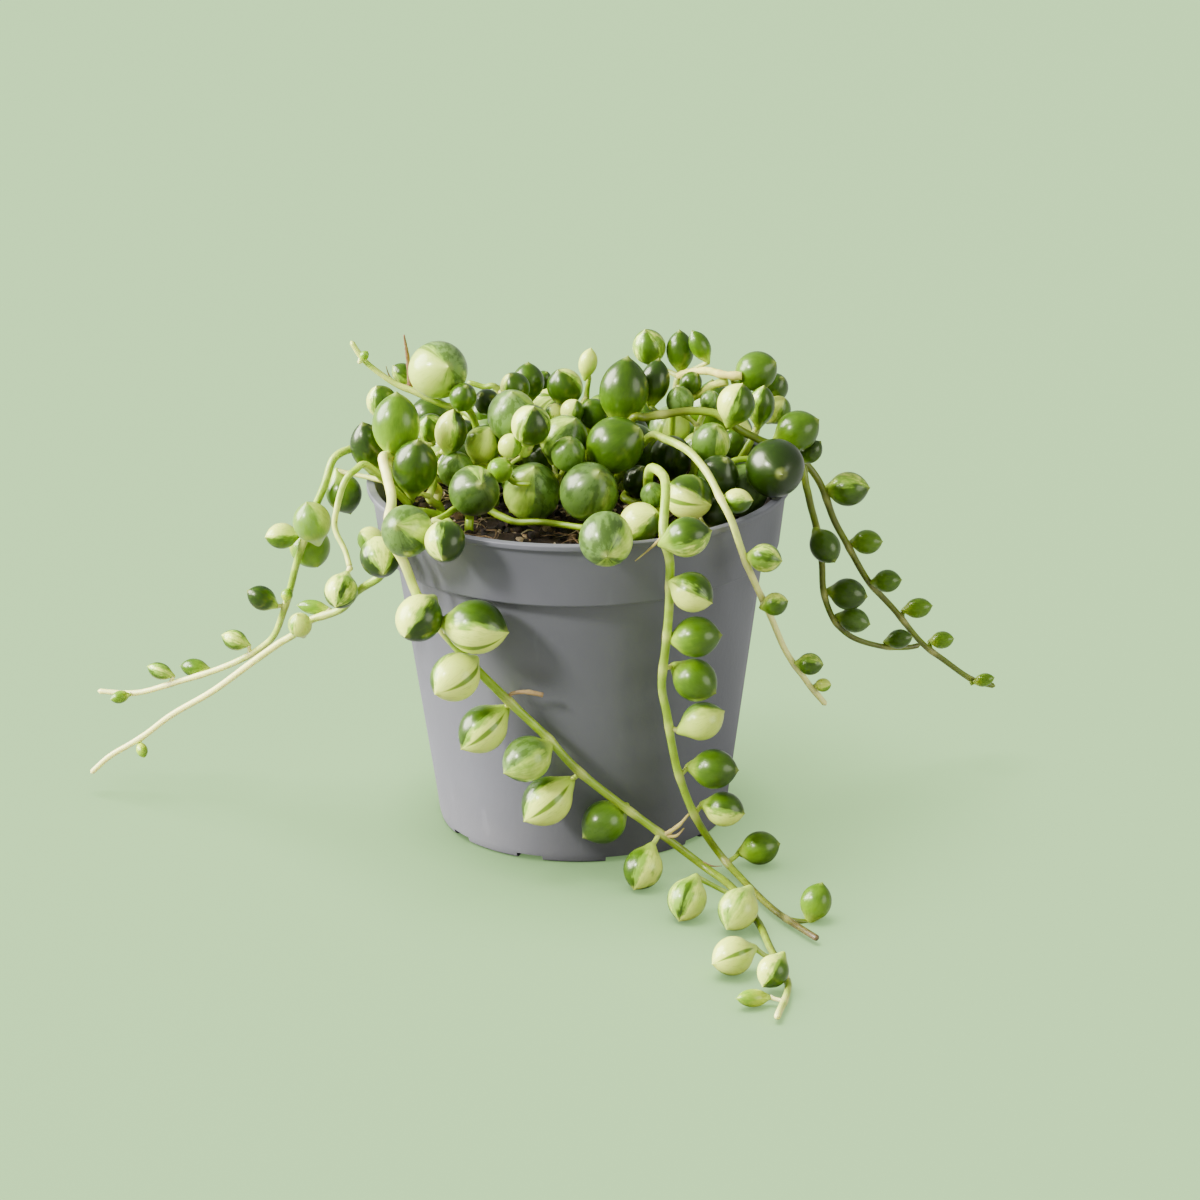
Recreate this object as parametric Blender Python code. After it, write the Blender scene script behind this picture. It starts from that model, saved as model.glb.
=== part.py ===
"""Potted string of watermelons: a small plastic nursery pot, its soil, and leafy stems whose round,
tip-pointed leaves sit on short stalks. Some stems heap their leaves over the soil and others trail.

The origin is the middle of the pot's foot, on the surface it stands on. +Z is up and the front is -Y.
Every number below is in millimetres, and MM turns it to Blender's metres when a mesh is made.

The plant is laid out as it grows. A stem is a chain of points, a leaf is a ball with a stalk and a tip,
and everything keeps CLEAR from everything else. Stems and leaves that show from the front are given
where a photograph's camera sees them: pixels across and down, with the distance behind the pot's axis
or the height over the surface. The rest of the plant grows by a rule with a fixed seed."""

import math
import random
from collections import namedtuple

import bmesh
import bpy
import numpy as np

MM = 0.001

# The pot
RIM_RADIUS = 30.0
RIM_HEIGHT = 50.4
LIP_THICKNESS = 0.9
COLLAR_TOP_RADIUS = 29.27
COLLAR_FOOT_RADIUS = 28.2
COLLAR_FOOT_HEIGHT = 41.0
BODY_TOP_RADIUS = 26.2
BODY_FOOT_RADIUS = 21.06
BODY_FOOT_HEIGHT = 4.0
FOOT_RADIUS = 20.0
INNER_FOOT_RADIUS = 18.4
WALL = 0.8
WALL_BALLS = 90
WALL_HALF = 0.6
LIP_MIDDLE_IN = 0.65
LIP_MIDDLE_DOWN = 0.55
BASE_THICKNESS = 1.8
POT_SIDES = 36
NOTCH_COUNT = 10
NOTCH_WIDTH = 3.9
NOTCH_HEIGHT = 0.85
NOTCH_FIRST = math.radians(14)
NOTCH_INNER_RADIUS = 10.5
DRAIN_RADIUS = 1.6
DRAIN_PLACE = 13.0
DRAIN_SIDES = 10
DRAIN_ROD = 8.0
CUTTER_SPARE = 4.0
POT_EDGE_ANGLE = 35

# The soil
SOIL_TOP = 45.7
SOIL_RELIEF = 0.35
SOIL_GAP = 0.3
SOIL_SIDES = 24
SOIL_RINGS = 4
HOLE_DEPTH = 3.0
HOLE_SIDES = 5
SOIL_EDGE_ANGLE = 40

# The plant
CLEAR = 0.35
STEM_STEP = 1.3
ROOT_STEPS = 3
STEM_SIDES = 5
STEM_SLACK = 0.28
LEAF_SIDES = 6
LEAF_EDGE_ANGLE = 50
STALK_RADIUS = 0.42
TIP_REACH = 1.14
FLOOR_CLEAR = 0.2
SEED = 7
FAR = 99.0
OUT_OF_REACH = -99.0

# How a chain is bent clear: its rounds, the last of which only settle it, and how it moves in each
BEND_ROUNDS = 90
STALK_ROUNDS = 40
SETTLING_ROUNDS = 12
SMOOTHING = 0.3
OWN_GAP = 0.15
BEND_SPARE = 0.12
HOLDER_SPARE = 0.1
NUDGE = 0.05
LONGEST_PUSH = 0.8
PUSH_SHARE = 0.6

# Balls that stand for a leaf's tip and base: how far each lies inside the end, and its radius, in radii
TIP_BALL = (0.2, 0.25)
BASE_BALL = (0.3, 0.35)

# Where a leaf may lie on its line of sight, and what counts against a place
DEPTHS = np.arange(-7.0, 9.01, 0.2)
OVERLAP_COST = 60
WRONG_SIDE_COST = 1.5
STEM_GAP = 0.05
LEAF_GAP = 0.1
TIP_AHEAD = 0.6
TIP_BACK = -0.3
FLATTEST_TIP = 0.97

# Stalks
BASE_REACH = 0.98
STALK_BEND = 0.45
FEET_TRIED = 14
STALK_CLEAR_COST = 8
STALK_OWN_COST = 1.5
HEAP_STALK = 1.3

# The stems that nothing shows: how they wave, bend and set their leaves
HIDDEN_LONG = 1.06
WAVE = 0.35
BENDS_CLEAR_BY = 0.15
BEND_DRAWS = 240
LEAF_DRAWS = 90
SPROUT_RADII = (3.7, 3.2, 2.7, 2.2)
HEAP_EDGE = 25.5
HEAP_FRONT = 1.0
UNDER_SKYLINE = 2

# The camera that the pixels belong to: what it looks at, from where, and its scale there
LOOK_AT = np.array((0.0, 0.0, 27.0))
LOOK_AT_PIXEL = (581.2, 632.9)
CAMERA_AWAY = 700.0
CAMERA_TILT = math.radians(20.09)
CAMERA_ROLL = math.radians(-0.72)
PIXELS_PER_MM = 7.011
TOWARDS_CAMERA = np.array((0.0, -math.cos(CAMERA_TILT), math.sin(CAMERA_TILT)))
CAMERA_RIGHT = np.array((1.0, 0.0, 0.0))
CAMERA_UP = np.array((0.0, math.sin(CAMERA_TILT), math.cos(CAMERA_TILT)))

COLOURS = {
    "pot": (0.30, 0.30, 0.31, 0.5),
    "soil": (0.030, 0.020, 0.013, 0.9),
    "leafy": (0.14, 0.30, 0.05, 0.35),
}

# px, py: the middle of the leaf in the photograph. width: across the leaf. behind: its distance behind
# the axis, or None to hang beside its stem. tip: from the middle to the tip, in pixels, or None to point
# away from the camera. long: length over width. lies: it rests on the surface. side: 1 before its stem,
# -1 behind it.
Leaf = namedtuple("Leaf", "px py width behind tip long lies side")
Stem = namedtuple("Stem", "name root route floor width leaves")
Grown = namedtuple("Grown", "middle radius axis long stalk")


def leaf(px, py, width, behind=None, tip=None, long=1.06, lies=False, side=1):
    return Leaf(px, py, width, behind, tip, long, lies, side)


def stem(name, root, leaves, route=(), floor=(), width=1.3):
    """root: where it leaves the soil, in mm. route: (px, py, mm behind the axis). floor: (px, py, height)."""
    return Stem(name, root, route, floor, width, leaves)


TRAILING = (
    stem(
        "stem_front_left_long",
        root=(-20.5, 3.0),
        width=1.5,
        route=(
            (391, 456, -7.5), (390, 472, -11), (393, 500, -16.5), (389, 519, -20.5), (391, 540, -22.5),
            (404, 562, -23), (417, 595, -22.5), (431, 615, -22.5), (458, 649, -23.5), (479, 672, -24.5),
            (506, 699, -25.5), (538, 731, -25.8), (574, 768, -26), (613, 799, -26), (661, 834, -26),
        ),
        floor=(
            (703, 866, 1.6), (733, 889, 1.0), (758, 924, 1.0), (769, 946, 1.0), (787, 985, 1.0),
            (777, 1018, 1.0),
        ),
        leaves=(
            leaf(396, 425, 6.8, -5, (1, -29), 1.22),
            leaf(419, 618, 6.4, None, (-10, 14)),
            leaf(476, 627, 7.4, None, (29, 4), 1.1),
            leaf(455, 677, 6.7, None, (-16, 14)),
            leaf(483, 729, 6.5, None, (-22, 19), 1.08),
            leaf(527, 759, 6.4, None, (-20, 12)),
            leaf(547, 801, 6.7, None, (-24, 20), 1.08),
            leaf(604, 822, 5.9, None, (-20, 14)),
            leaf(643, 868, 5.5, lies=True, tip=(-8, 19)),
            leaf(687, 899, 5.4, lies=True, tip=(-8, 18)),
            leaf(738, 909, 5.5, lies=True, tip=(-10, 16)),
            leaf(733, 956, 5.2, lies=True, tip=(-18, 6)),
            leaf(773, 971, 4.2, lies=True, tip=(-9, 14)),
            leaf(753, 998, 2.4, lies=True, tip=(-15, 0), long=1.7),
        ),
    ),
    stem(
        "stem_front_right_long",
        root=(9.5, -2.0),
        width=1.45,
        route=(
            (650, 470, -15), (662, 474, -20), (666, 490, -26), (664, 532, -31.5), (671, 562, -32),
            (671, 595, -31), (667, 640, -29.5), (662, 684, -28.5), (667, 714, -28), (673, 750, -27.5),
            (680, 778, -27), (697, 820, -26),
        ),
        floor=((724, 860, 1.6), (753, 891, 1.0), (775, 911, 1.0), (797, 926, 1.0), (818, 939, 1.0)),
        leaves=(
            leaf(687, 537, 5.5, None, (23, -6), 1.08),
            leaf(692, 592, 5.4, None, (17, 9)),
            leaf(696, 637, 5.6, None, (24, -2), 1.1),
            leaf(695, 680, 5.8, None, (18, 12)),
            leaf(702, 721, 5.2, None, (21, -9), 1.1),
            leaf(714, 769, 5.5, None, (22, 2), 1.1),
            leaf(724, 809, 4.9, None, (18, 4), 1.08),
            leaf(760, 848, 4.8, lies=True, tip=(18, -4)),
            leaf(816, 902, 4.3, lies=True, tip=(6, -18), long=1.15),
        ),
    ),
    stem(
        "stem_right_over_rim",
        root=(5.0, 4.5),
        route=(
            (648, 439, -1), (664, 439, -5), (689, 452, -11), (708, 476, -17), (721, 500, -21.5),
            (732, 521, -23.5), (743, 552, -24), (757, 586, -23), (770, 614, -22), (786, 650, -21),
            (805, 677, -20), (826, 705, -19),
        ),
        leaves=(
            leaf(737, 501, 3.5, -21.5, (14, 0), 1.15),
            leaf(765, 558, 4.0, None, (14, 2), 1.1),
            leaf(775, 604, 3.2, None, (11, -3)),
            leaf(810, 664, 3.1, None, (11, 1), 1.1),
            leaf(823, 685, 1.9, None, (6, 0), 1.2),
        ),
    ),
    stem(
        "stem_arch_right_outer",
        root=(6.0, 8.0),
        route=(
            (630, 421, -0.5), (645, 417, -0.5), (664, 414, 0), (690, 411, 0), (717, 414, -0.5),
            (737, 428, 0), (762, 441, 2), (785, 450, 3.5), (805, 463, 4.5), (821, 485, 5),
            (834, 519, 6), (848, 544, 7), (869, 580, 8.5), (894, 609, 10.5), (921, 642, 13),
            (944, 660, 15), (973, 680, 17), (995, 686, 18),
        ),
        leaves=(
            leaf(624, 391, 6.9, 0, (5, -31), 1.25),
            leaf(655, 382, 4.3, 5, (4, -22), 1.35),
            leaf(736, 404, 5.3, -1, (6, -17)),
            leaf(797, 431, 5.8, 1, (19, -10)),
            leaf(811, 452, 2.9, 2.5, (9, -9), 1.25),
            leaf(848, 489, 4.9, None, (19, 0), 1.12),
            leaf(867, 542, 3.6, None, (13, 0), 1.15),
            leaf(887, 581, 3.3, None, (13, -1), 1.15),
            leaf(918, 608, 3.0, None, (13, -2), 1.25),
            leaf(942, 640, 2.6, None, (10, -1), 1.25),
            leaf(984, 680, 2.0, None, (9, -2), 1.4),
        ),
    ),
    stem(
        "stem_right_inner",
        root=(23.0, 1.0),
        width=1.2,
        route=(
            (797, 467, 0), (806, 486, -1), (811, 507, 0), (817, 530, 1), (822, 562, 2), (824, 591, 3),
            (834, 617, 4.5), (851, 635, 6), (876, 644, 8), (905, 647, 10), (920, 645, 11),
        ),
        leaves=(
            leaf(825, 546, 4.3, None, (8, 14), 1.15),
            leaf(848, 594, 4.6, None, (17, 3), 1.08),
            leaf(854, 620, 3.6, None, (14, 4), 1.2),
            leaf(899, 639, 2.8, None, (11, -2), 1.3),
        ),
    ),
    stem(
        "stem_left_outer",
        root=(-23.5, 8.5),
        width=1.25,
        route=(
            (372, 450, 4), (353, 449, 1.5), (335, 459, 0), (326, 484, -1), (315, 509, -1), (306, 535, 0),
            (297, 562, 1), (290, 590, 2), (284, 610, 3), (275, 634, 4.5), (262, 647, 6), (240, 660, 7.5),
            (213, 671, 9), (177, 682, 11), (136, 693, 13), (98, 691, 15),
        ),
        leaves=(
            leaf(312, 522, 5.4, -4, (-4, -16)),
            leaf(310, 546, 5.8, None, (6, 17)),
            leaf(282, 536, 3.7, None, (-13, 1), 1.2),
            leaf(262, 598, 3.5, None, (-12, -7), 1.2),
            leaf(287, 595, 1.7, None, (2, -7)),
            leaf(235, 640, 3.0, None, (-11, -4), 1.2, side=-1),
            leaf(195, 668, 2.8, None, (-12, -2), 1.4, side=-1),
            leaf(160, 671, 2.5, None, (-11, -4), 1.4, side=-1),
            leaf(120, 697, 1.9, None, (-8, 2), 1.35),
        ),
    ),
    stem(
        "stem_left_inner",
        root=(-24.5, -1.5),
        width=1.2,
        route=(
            (368, 463, -3), (359, 466, -4.5), (346, 478, -6), (338, 503, -7), (335, 528, -8),
            (345, 550, -10), (350, 568, -11.5),
        ),
        leaves=(
            leaf(344, 493, 5.1, 0, (5, 17), side=-1),
            leaf(341, 591, 4.7, None, (-4, 13)),
        ),
    ),
    stem(
        "stem_left_lower",
        root=(-19.0, -9.0),
        route=(
            (413, 512, -18.2), (402, 529, -17.3), (388, 552, -15.5), (382, 575, -15.5), (357, 591, -13),
            (341, 609, -9), (310, 620, -7), (293, 635, -5), (281, 642, -4), (250, 664, -2), (213, 691, 1),
            (172, 715, 4), (141, 739, 6), (111, 756, 7.5), (91, 773, 8.5),
        ),
        leaves=(
            leaf(380, 557, 5.6, -19, (3, 12)),
            leaf(371, 540, 3.7, -9.5, (-8, -6)),
            leaf(313, 607, 2.1, None, (-14, -2), 1.9, side=-1),
            leaf(300, 625, 3.4, None, (-2, -8)),
            leaf(142, 750, 1.7, None, (2, 6), 1.3),
        ),
    ),
)

HEAPED = (
    stem(
        "stem_growing_tip",
        root=(-13.0, 9.0),
        route=(
            (471, 413, 6), (448, 406, 5.5), (430, 399, 5.5), (413, 391, 6), (395, 384, 6.5),
            (369, 365, 7.5), (358, 352, 8), (351, 341, 8.5),
        ),
        width=1.2,
        leaves=(
            leaf(438, 370, 8.3, 6, (7, -1), 1.04),
            leaf(403, 374, 3.1, 10, (-9, -7)),
            leaf(463, 397, 3.9, 3, (3, -8)),
            leaf(364, 356, 1.3, None, (3, -4), 1.3),
        ),
    ),
    stem(
        "stem_crown_left",
        root=(-10.0, 14.5),
        route=((500, 393, 13.5), (484, 387, 14), (467, 382, 14.5)),
        leaves=(
            leaf(515, 388, 4.3, 7, (-3, -10)),
            leaf(528, 382, 4.6, 12, (0, -17), 1.1),
            leaf(543, 380, 2.6, 16, (3, -6)),
            leaf(487, 402, 3.7, 9, (-4, -5)),
        ),
    ),
    stem(
        "stem_flower_bud",
        root=(1.5, 10.5),
        width=1.1,
        route=((586, 404, 8), (587, 385, 6.5), (588, 375, 6)),
        leaves=(
            leaf(588, 363, 2.7, 6, (3, -13), 1.45),
            leaf(565, 387, 5.1, 9, (-5, -12)),
            leaf(572, 411, 3.3, 2.5, (3, -7)),
            leaf(555, 414, 2.9, 8.5, (-4, -6)),
            leaf(594, 414, 4.3, 3, (-4, -8)),
        ),
    ),
    stem(
        "stem_left_side",
        root=(-24.0, 4.5),
        leaves=(
            leaf(368, 447, 5.0, -1, (-3, -20), 1.35),
            leaf(382, 402, 4.4, 6, (-3, -12), 1.1),
            leaf(431, 428, 4.0, 3, (-2, -8)),
        ),
    ),
    stem(
        "stem_left_heap",
        root=(-19.5, -1.5),
        leaves=(
            leaf(415, 467, 6.3, -5, (3, -20), 1.25),
            leaf(456, 470, 5.1, -1, (2, -9)),
            leaf(451, 432, 4.6, -1, (3, -18), 1.3),
        ),
    ),
    stem(
        "stem_front_left_runner",
        root=(-15.5, -8.0),
        route=((458, 508, -14.5), (446, 515, -19), (434, 521, -22)),
        leaves=(
            leaf(474, 491, 7.0, -11, (5, -4), 1.04),
            leaf(407, 531, 7.1, -24, (-5, -3), 1.04),
            leaf(445, 541, 5.5, -27, (-2, 14)),
        ),
    ),
    stem(
        "stem_cream_tip",
        root=(-9.5, 0.5),
        width=1.1,
        route=((508, 474, -7.5), (515, 483, -11), (531, 484, -12)),
        leaves=(
            leaf(510, 446, 3.4, -6.5, (3, -7)),
            leaf(500, 470, 3.5, -9.5, (7, -3)),
            leaf(525, 449, 2.3, -4.5, (3, -6)),
        ),
    ),
    stem(
        "stem_middle_left",
        root=(-12.0, 4.0),
        leaves=(
            leaf(483, 444, 5.1, 1, (6, -12)),
            leaf(512, 416, 7.1, 4.5, (0, -17)),
            leaf(531, 425, 5.5, -2, (3, -13)),
        ),
    ),
    stem(
        "stem_middle",
        root=(-4.5, 3.5),
        leaves=(
            leaf(564, 440, 6.8, 2.5, (8, -14)),
            leaf(568, 454, 4.8, -3.5, (2, -9)),
            leaf(532, 492, 8.1, -6, (3, -16), 1.04),
        ),
    ),
    stem(
        "stem_middle_right",
        root=(1.5, 4.0),
        leaves=(
            leaf(589, 492, 8.2, -5.5, (6, -12), 1.04),
            leaf(615, 445, 8.0, -5, (18, -13), 1.04),
        ),
    ),
    stem(
        "stem_front_runner",
        root=(-14.5, -2.0),
        width=1.2,
        route=(
            (500, 511, -6), (520, 515, -9), (545, 518, -12), (566, 522, -13), (588, 526, -16),
            (596, 522, -21),
        ),
        leaves=(
            leaf(606, 539, 7.4, -33, (0, 13), 1.04),
            leaf(640, 523, 5.7, -15, (10, -6), 1.04),
        ),
    ),
    stem(
        "stem_top_right",
        root=(13.0, 11.5),
        route=((673, 406, 11), (675, 392, 10.5), (678, 376, 10.5)),
        leaves=(
            leaf(649, 347, 4.7, 12, (-3, -13), 1.08),
            leaf(680, 351, 4.0, 12, (-1, -18), 1.35),
            leaf(700, 346, 2.9, 9, (-7, -14), 1.5),
            leaf(691, 383, 3.2, 8, (4, -6)),
        ),
    ),
    stem(
        "stem_right_back",
        root=(21.5, 10.0),
        leaves=(
            leaf(761, 406, 4.0, 4, (2, -16), 1.4),
            leaf(777, 410, 4.0, 9, (6, -8)),
            leaf(773, 388, 4.3, 11, (7, -7)),
            leaf(756, 371, 5.7, 7.5, (15, -5), 1.05),
        ),
    ),
    stem(
        "stem_right_middle",
        root=(15.5, 4.5),
        leaves=(
            leaf(671, 458, 6.2, 3, (0, -14)),
            leaf(711, 443, 5.4, -4, (4, -12), 1.12),
            leaf(680, 401, 4.0, 6, (-2, -9)),
            leaf(710, 401, 2.9, 6, (3, -6)),
        ),
    ),
    stem(
        "stem_right_front",
        root=(20.0, -1.0),
        leaves=(
            leaf(741, 489, 7.7, -5.5, (8, -14), 1.04),
            leaf(718, 476, 5.7, -10, (6, -12)),
            leaf(775, 468, 8.2, -8.5, (4, 5), 1.04),
        ),
    ),
    stem(
        "stem_right_low",
        root=(15.5, -4.5),
        leaves=(
            leaf(717, 512, 4.3, -11, (4, -9)),
            leaf(689, 497, 6.3, -13, (17, 6), 1.04),
        ),
    ),
    stem(
        "stem_shaded",
        root=(8.0, 2.0),
        leaves=(
            leaf(639, 482, 4.6, -4, (2, -10)),
            leaf(653, 495, 3.5, -9, (-2, -7)),
        ),
    ),
)

# The stems behind and inside the heap: where each leaves the soil, the way it creeps, and its bends
Creeping = namedtuple("Creeping", "name root heading bends")
CREEPING = (
    Creeping("stem_inner_1", (-2.5, 15.0), 200, 4),
    Creeping("stem_inner_2", (8.0, 15.5), 330, 4),
    Creeping("stem_inner_3", (14.0, 16.5), 60, 4),
    Creeping("stem_back_1", (-21.5, 12.0), 110, 5),
    Creeping("stem_back_2", (-8.0, 21.0), 190, 5),
    Creeping("stem_back_3", (3.0, 21.5), 0, 5),
    Creeping("stem_back_4", (21.5, 14.5), 100, 5),
)

HIDDEN_WIDTH = 1.1

# The stems that hang over the back of the rim: the way each leaves the axis, in degrees from +X, how
# far it hangs below the rim, and how many leaves it has
Hanging = namedtuple("Hanging", "name azimuth drop count")
HANGING = (
    Hanging("stem_over_back_1", 124, 22, 8),
    Hanging("stem_over_back_2", 92, 12, 5),
    Hanging("stem_over_back_3", 58, 18, 7),
)
HANGING_ROOT = 21.5
OVER_RIM = (
    (26.0, RIM_HEIGHT + 0.8), (29.5, RIM_HEIGHT + 2.0), (32.2, RIM_HEIGHT + 0.8), (33.3, RIM_HEIGHT - 4.0),
)

# The heap's skyline as the camera sees it, in pixels. Hidden leaves stay under it
SKYLINE = np.array(
    (
        (350, 480), (372, 430), (385, 405), (410, 412), (450, 412), (480, 395), (505, 380), (545, 380),
        (580, 398), (600, 400), (620, 372), (650, 345), (700, 350), (725, 385), (760, 365), (785, 385),
        (800, 425), (820, 445), (840, 500),
    )
)


def sight(px, py):
    """The camera's place, and the way from it through a pixel of the photograph."""
    across, down = px - LOOK_AT_PIXEL[0], py - LOOK_AT_PIXEL[1]
    cosine, sine = math.cos(CAMERA_ROLL), math.sin(CAMERA_ROLL)
    right = cosine * across + sine * down
    up = sine * across - cosine * down
    focal = PIXELS_PER_MM * CAMERA_AWAY
    ray = (CAMERA_RIGHT * right + CAMERA_UP * up) / focal - TOWARDS_CAMERA
    return LOOK_AT + TOWARDS_CAMERA * CAMERA_AWAY, ray


def seen_behind(px, py, behind):
    """The point that shows at a pixel, this far behind the pot's axis."""
    place, ray = sight(px, py)
    return place + ray * (behind - place[1]) / ray[1]


def seen_above(px, py, height):
    """The point that shows at a pixel, this high over the surface."""
    place, ray = sight(px, py)
    return place + ray * (height - place[2]) / ray[2]


def pixels_of(points):
    """Where the camera sees each point."""
    away = np.atleast_2d(points) - (LOOK_AT + TOWARDS_CAMERA * CAMERA_AWAY)
    depth = -away @ TOWARDS_CAMERA
    focal = PIXELS_PER_MM * CAMERA_AWAY
    right = away @ CAMERA_RIGHT / depth * focal
    down = -away @ CAMERA_UP / depth * focal
    cosine, sine = math.cos(CAMERA_ROLL), math.sin(CAMERA_ROLL)
    return np.stack(
        (cosine * right - sine * down + LOOK_AT_PIXEL[0], sine * right + cosine * down + LOOK_AT_PIXEL[1]),
        axis=1,
    )


def unit(vector):
    """The vector with a length of one."""
    return vector / max(np.linalg.norm(vector), 1e-9)


def wall_line():
    """Balls along the middle of the pot's wall, as (distance from the axis, height)."""
    corners = np.array(
        (
            (FOOT_RADIUS, BASE_THICKNESS / 2),
            (BODY_FOOT_RADIUS - WALL / 2, BODY_FOOT_HEIGHT),
            (BODY_TOP_RADIUS - WALL / 2, COLLAR_FOOT_HEIGHT),
            (COLLAR_FOOT_RADIUS - WALL / 2, COLLAR_FOOT_HEIGHT + WALL / 2),
            (RIM_RADIUS - LIP_MIDDLE_IN, RIM_HEIGHT - LIP_MIDDLE_DOWN),
        )
    )
    lengths = np.linalg.norm(np.diff(corners, axis=0), axis=1)
    along = np.concatenate(((0.0,), np.cumsum(lengths)))
    places = np.linspace(0.0, along[-1], WALL_BALLS)
    return np.stack([np.interp(places, along, corners[:, i]) for i in range(2)], axis=1)


WALL_LINE = wall_line()


def holder_room(points, radii):
    """How far each ball is from the pot, the soil and the surface."""
    out = np.hypot(points[:, 0], points[:, 1])
    across = out[:, None] - WALL_LINE[None, :, 0]
    rise = points[:, 2, None] - WALL_LINE[None, :, 1]
    wall = np.hypot(across, rise).min(axis=1) - WALL_HALF
    edge = np.interp(points[:, 2], WALL_LINE[:, 1], WALL_LINE[:, 0])
    soil = np.where(out < edge, points[:, 2] - SOIL_TOP - SOIL_RELIEF, FAR)
    floor = points[:, 2] - FLOOR_CLEAR + CLEAR
    return np.minimum(np.minimum(wall, soil), floor) - radii


class Filled:
    """The balls that stand for what is placed already, each with the number of its stem."""

    def __init__(self):
        self.middles = np.zeros((0, 3))
        self.radii = np.zeros(0)
        self.owners = np.zeros(0, int)

    def add(self, middles, radii, owner):
        middles = np.atleast_2d(middles)
        rows = slice(len(self.middles), len(self.middles) + len(middles))
        self.middles = np.concatenate((self.middles, middles))
        self.radii = np.concatenate((self.radii, np.broadcast_to(radii, len(middles))))
        self.owners = np.concatenate((self.owners, np.full(len(middles), owner)))
        return rows

    def room(self, middles, radii, skip=-1):
        """The least distance from these balls to those of every stem but one, and to pot and soil."""
        middles = np.atleast_2d(middles)
        radii = np.broadcast_to(np.asarray(radii, float), len(middles))
        least = holder_room(middles, radii).min()
        others = self.owners != skip
        if others.any():
            apart = np.linalg.norm(middles[:, None] - self.middles[None, others], axis=2)
            least = min(least, (apart - radii[:, None] - self.radii[None, others]).min())
        return least


def leaf_balls(middle, radius, axis, long):
    """A leaf as three balls: its body, its tip and its base."""
    reach = radius * long
    tip = middle + axis * (reach - TIP_BALL[0] * radius)
    base = middle - axis * (reach - BASE_BALL[0] * radius)
    return np.array((middle, tip, base)), radius * np.array((1.0, TIP_BALL[1], BASE_BALL[1]))


def smooth_chain(points, step):
    """A Catmull-Rom curve through the points, cut into even steps."""
    points = np.asarray(points, float)
    ends = np.concatenate((2 * points[:1] - points[1:2], points, 2 * points[-1:] - points[-2:-1]))
    share = np.linspace(0.0, 1.0, 13)[:-1, None]
    dense = []
    for before, start, stop, after in zip(ends, ends[1:], ends[2:], ends[3:]):
        dense.append(
            0.5
            * (
                2 * start
                + (stop - before) * share
                + (2 * before - 5 * start + 4 * stop - after) * share**2
                + (3 * start - before - 3 * stop + after) * share**3
            )
        )
    dense = np.concatenate(dense + [points[-1:]])
    return even_steps(dense, step)


def even_steps(chain, step):
    """The same line with its points an even distance apart."""
    along = np.concatenate(((0.0,), np.cumsum(np.linalg.norm(np.diff(chain, axis=0), axis=1))))
    places = np.linspace(0.0, along[-1], max(int(round(along[-1] / step)), 2) + 1)
    return np.stack([np.interp(places, along, chain[:, i]) for i in range(3)], axis=1)


def bent_clear(chain, radius, filled, owner, fixed_start, fixed_end=0, rounds=BEND_ROUNDS, keeps_shape=False):
    """Moves a chain's free points out of every ball, and out of pot and soil, and evens the chain out as
    it goes. A chain that keeps its shape is evened out in how far it moved."""
    chain = chain.copy()
    free = slice(fixed_start, len(chain) - fixed_end)
    if len(chain[free]) == 0:
        return chain
    base = chain.copy() if keeps_shape else np.zeros_like(chain)
    wanted = np.where(filled.owners == owner, OWN_GAP, CLEAR + BEND_SPARE)
    for turn in range(rounds):
        if turn < rounds - SETTLING_ROUNDS:
            offset = chain - base
            offset[1:-1] += SMOOTHING * ((offset[:-2] + offset[2:]) / 2 - offset[1:-1])
            chain[free] = (base + offset)[free]
        points = chain[free]
        away = points[:, None] - filled.middles[None]
        apart = np.maximum(np.linalg.norm(away, axis=2), 1e-6)
        short = np.maximum(filled.radii[None] + radius + wanted[None] - apart, 0.0)
        push = (away / apart[..., None] * short[..., None]).sum(axis=1)
        room = holder_room(points, radius)
        slope = np.stack(
            [(holder_room(points + NUDGE * way, radius) - room) / NUDGE for way in np.eye(3)], axis=1
        )
        push += slope * np.maximum(CLEAR + HOLDER_SPARE - room, 0.0)[:, None]
        length = np.linalg.norm(push, axis=1, keepdims=True)
        chain[free] = points + push * np.minimum(1.0, LONGEST_PUSH / np.maximum(length, 1e-9)) * PUSH_SHARE
    return chain


def stem_radii(width, count):
    """A stem thins towards its tip."""
    return width / 2 * np.linspace(1.0, 0.62, count)


def root_points(root):
    """The foot of a stem: straight up from its end in the hole until it is clear of the soil."""
    x, y = root
    bottom = SOIL_TOP - HOLE_DEPTH + 2 * CLEAR
    return [np.array((x, y, height)) for height in (bottom, bottom + 1.4, SOIL_TOP + 0.7, SOIL_TOP + 1.9)]


def routed(plan):
    """The chain of a stem whose route is given."""
    points = root_points(plan.root)
    points += [seen_behind(*spot) for spot in plan.route]
    points += [seen_above(*spot) for spot in plan.floor]
    return smooth_chain(points, STEM_STEP)


def tip_axis(tip, radius, scale, towards):
    """The way from base to tip, from where the tip shows: what its length lacks points at the camera."""
    right, up = tip[0] / scale, -tip[1] / scale
    reach = radius * TIP_REACH
    flat = math.hypot(right, up)
    if flat > FLATTEST_TIP * reach:
        right, up = right / flat * FLATTEST_TIP * reach, up / flat * FLATTEST_TIP * reach
        flat = FLATTEST_TIP * reach
    ahead = math.sqrt(reach**2 - flat**2)
    return unit(CAMERA_RIGHT * right + CAMERA_UP * up + TOWARDS_CAMERA * ahead * towards)


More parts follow.
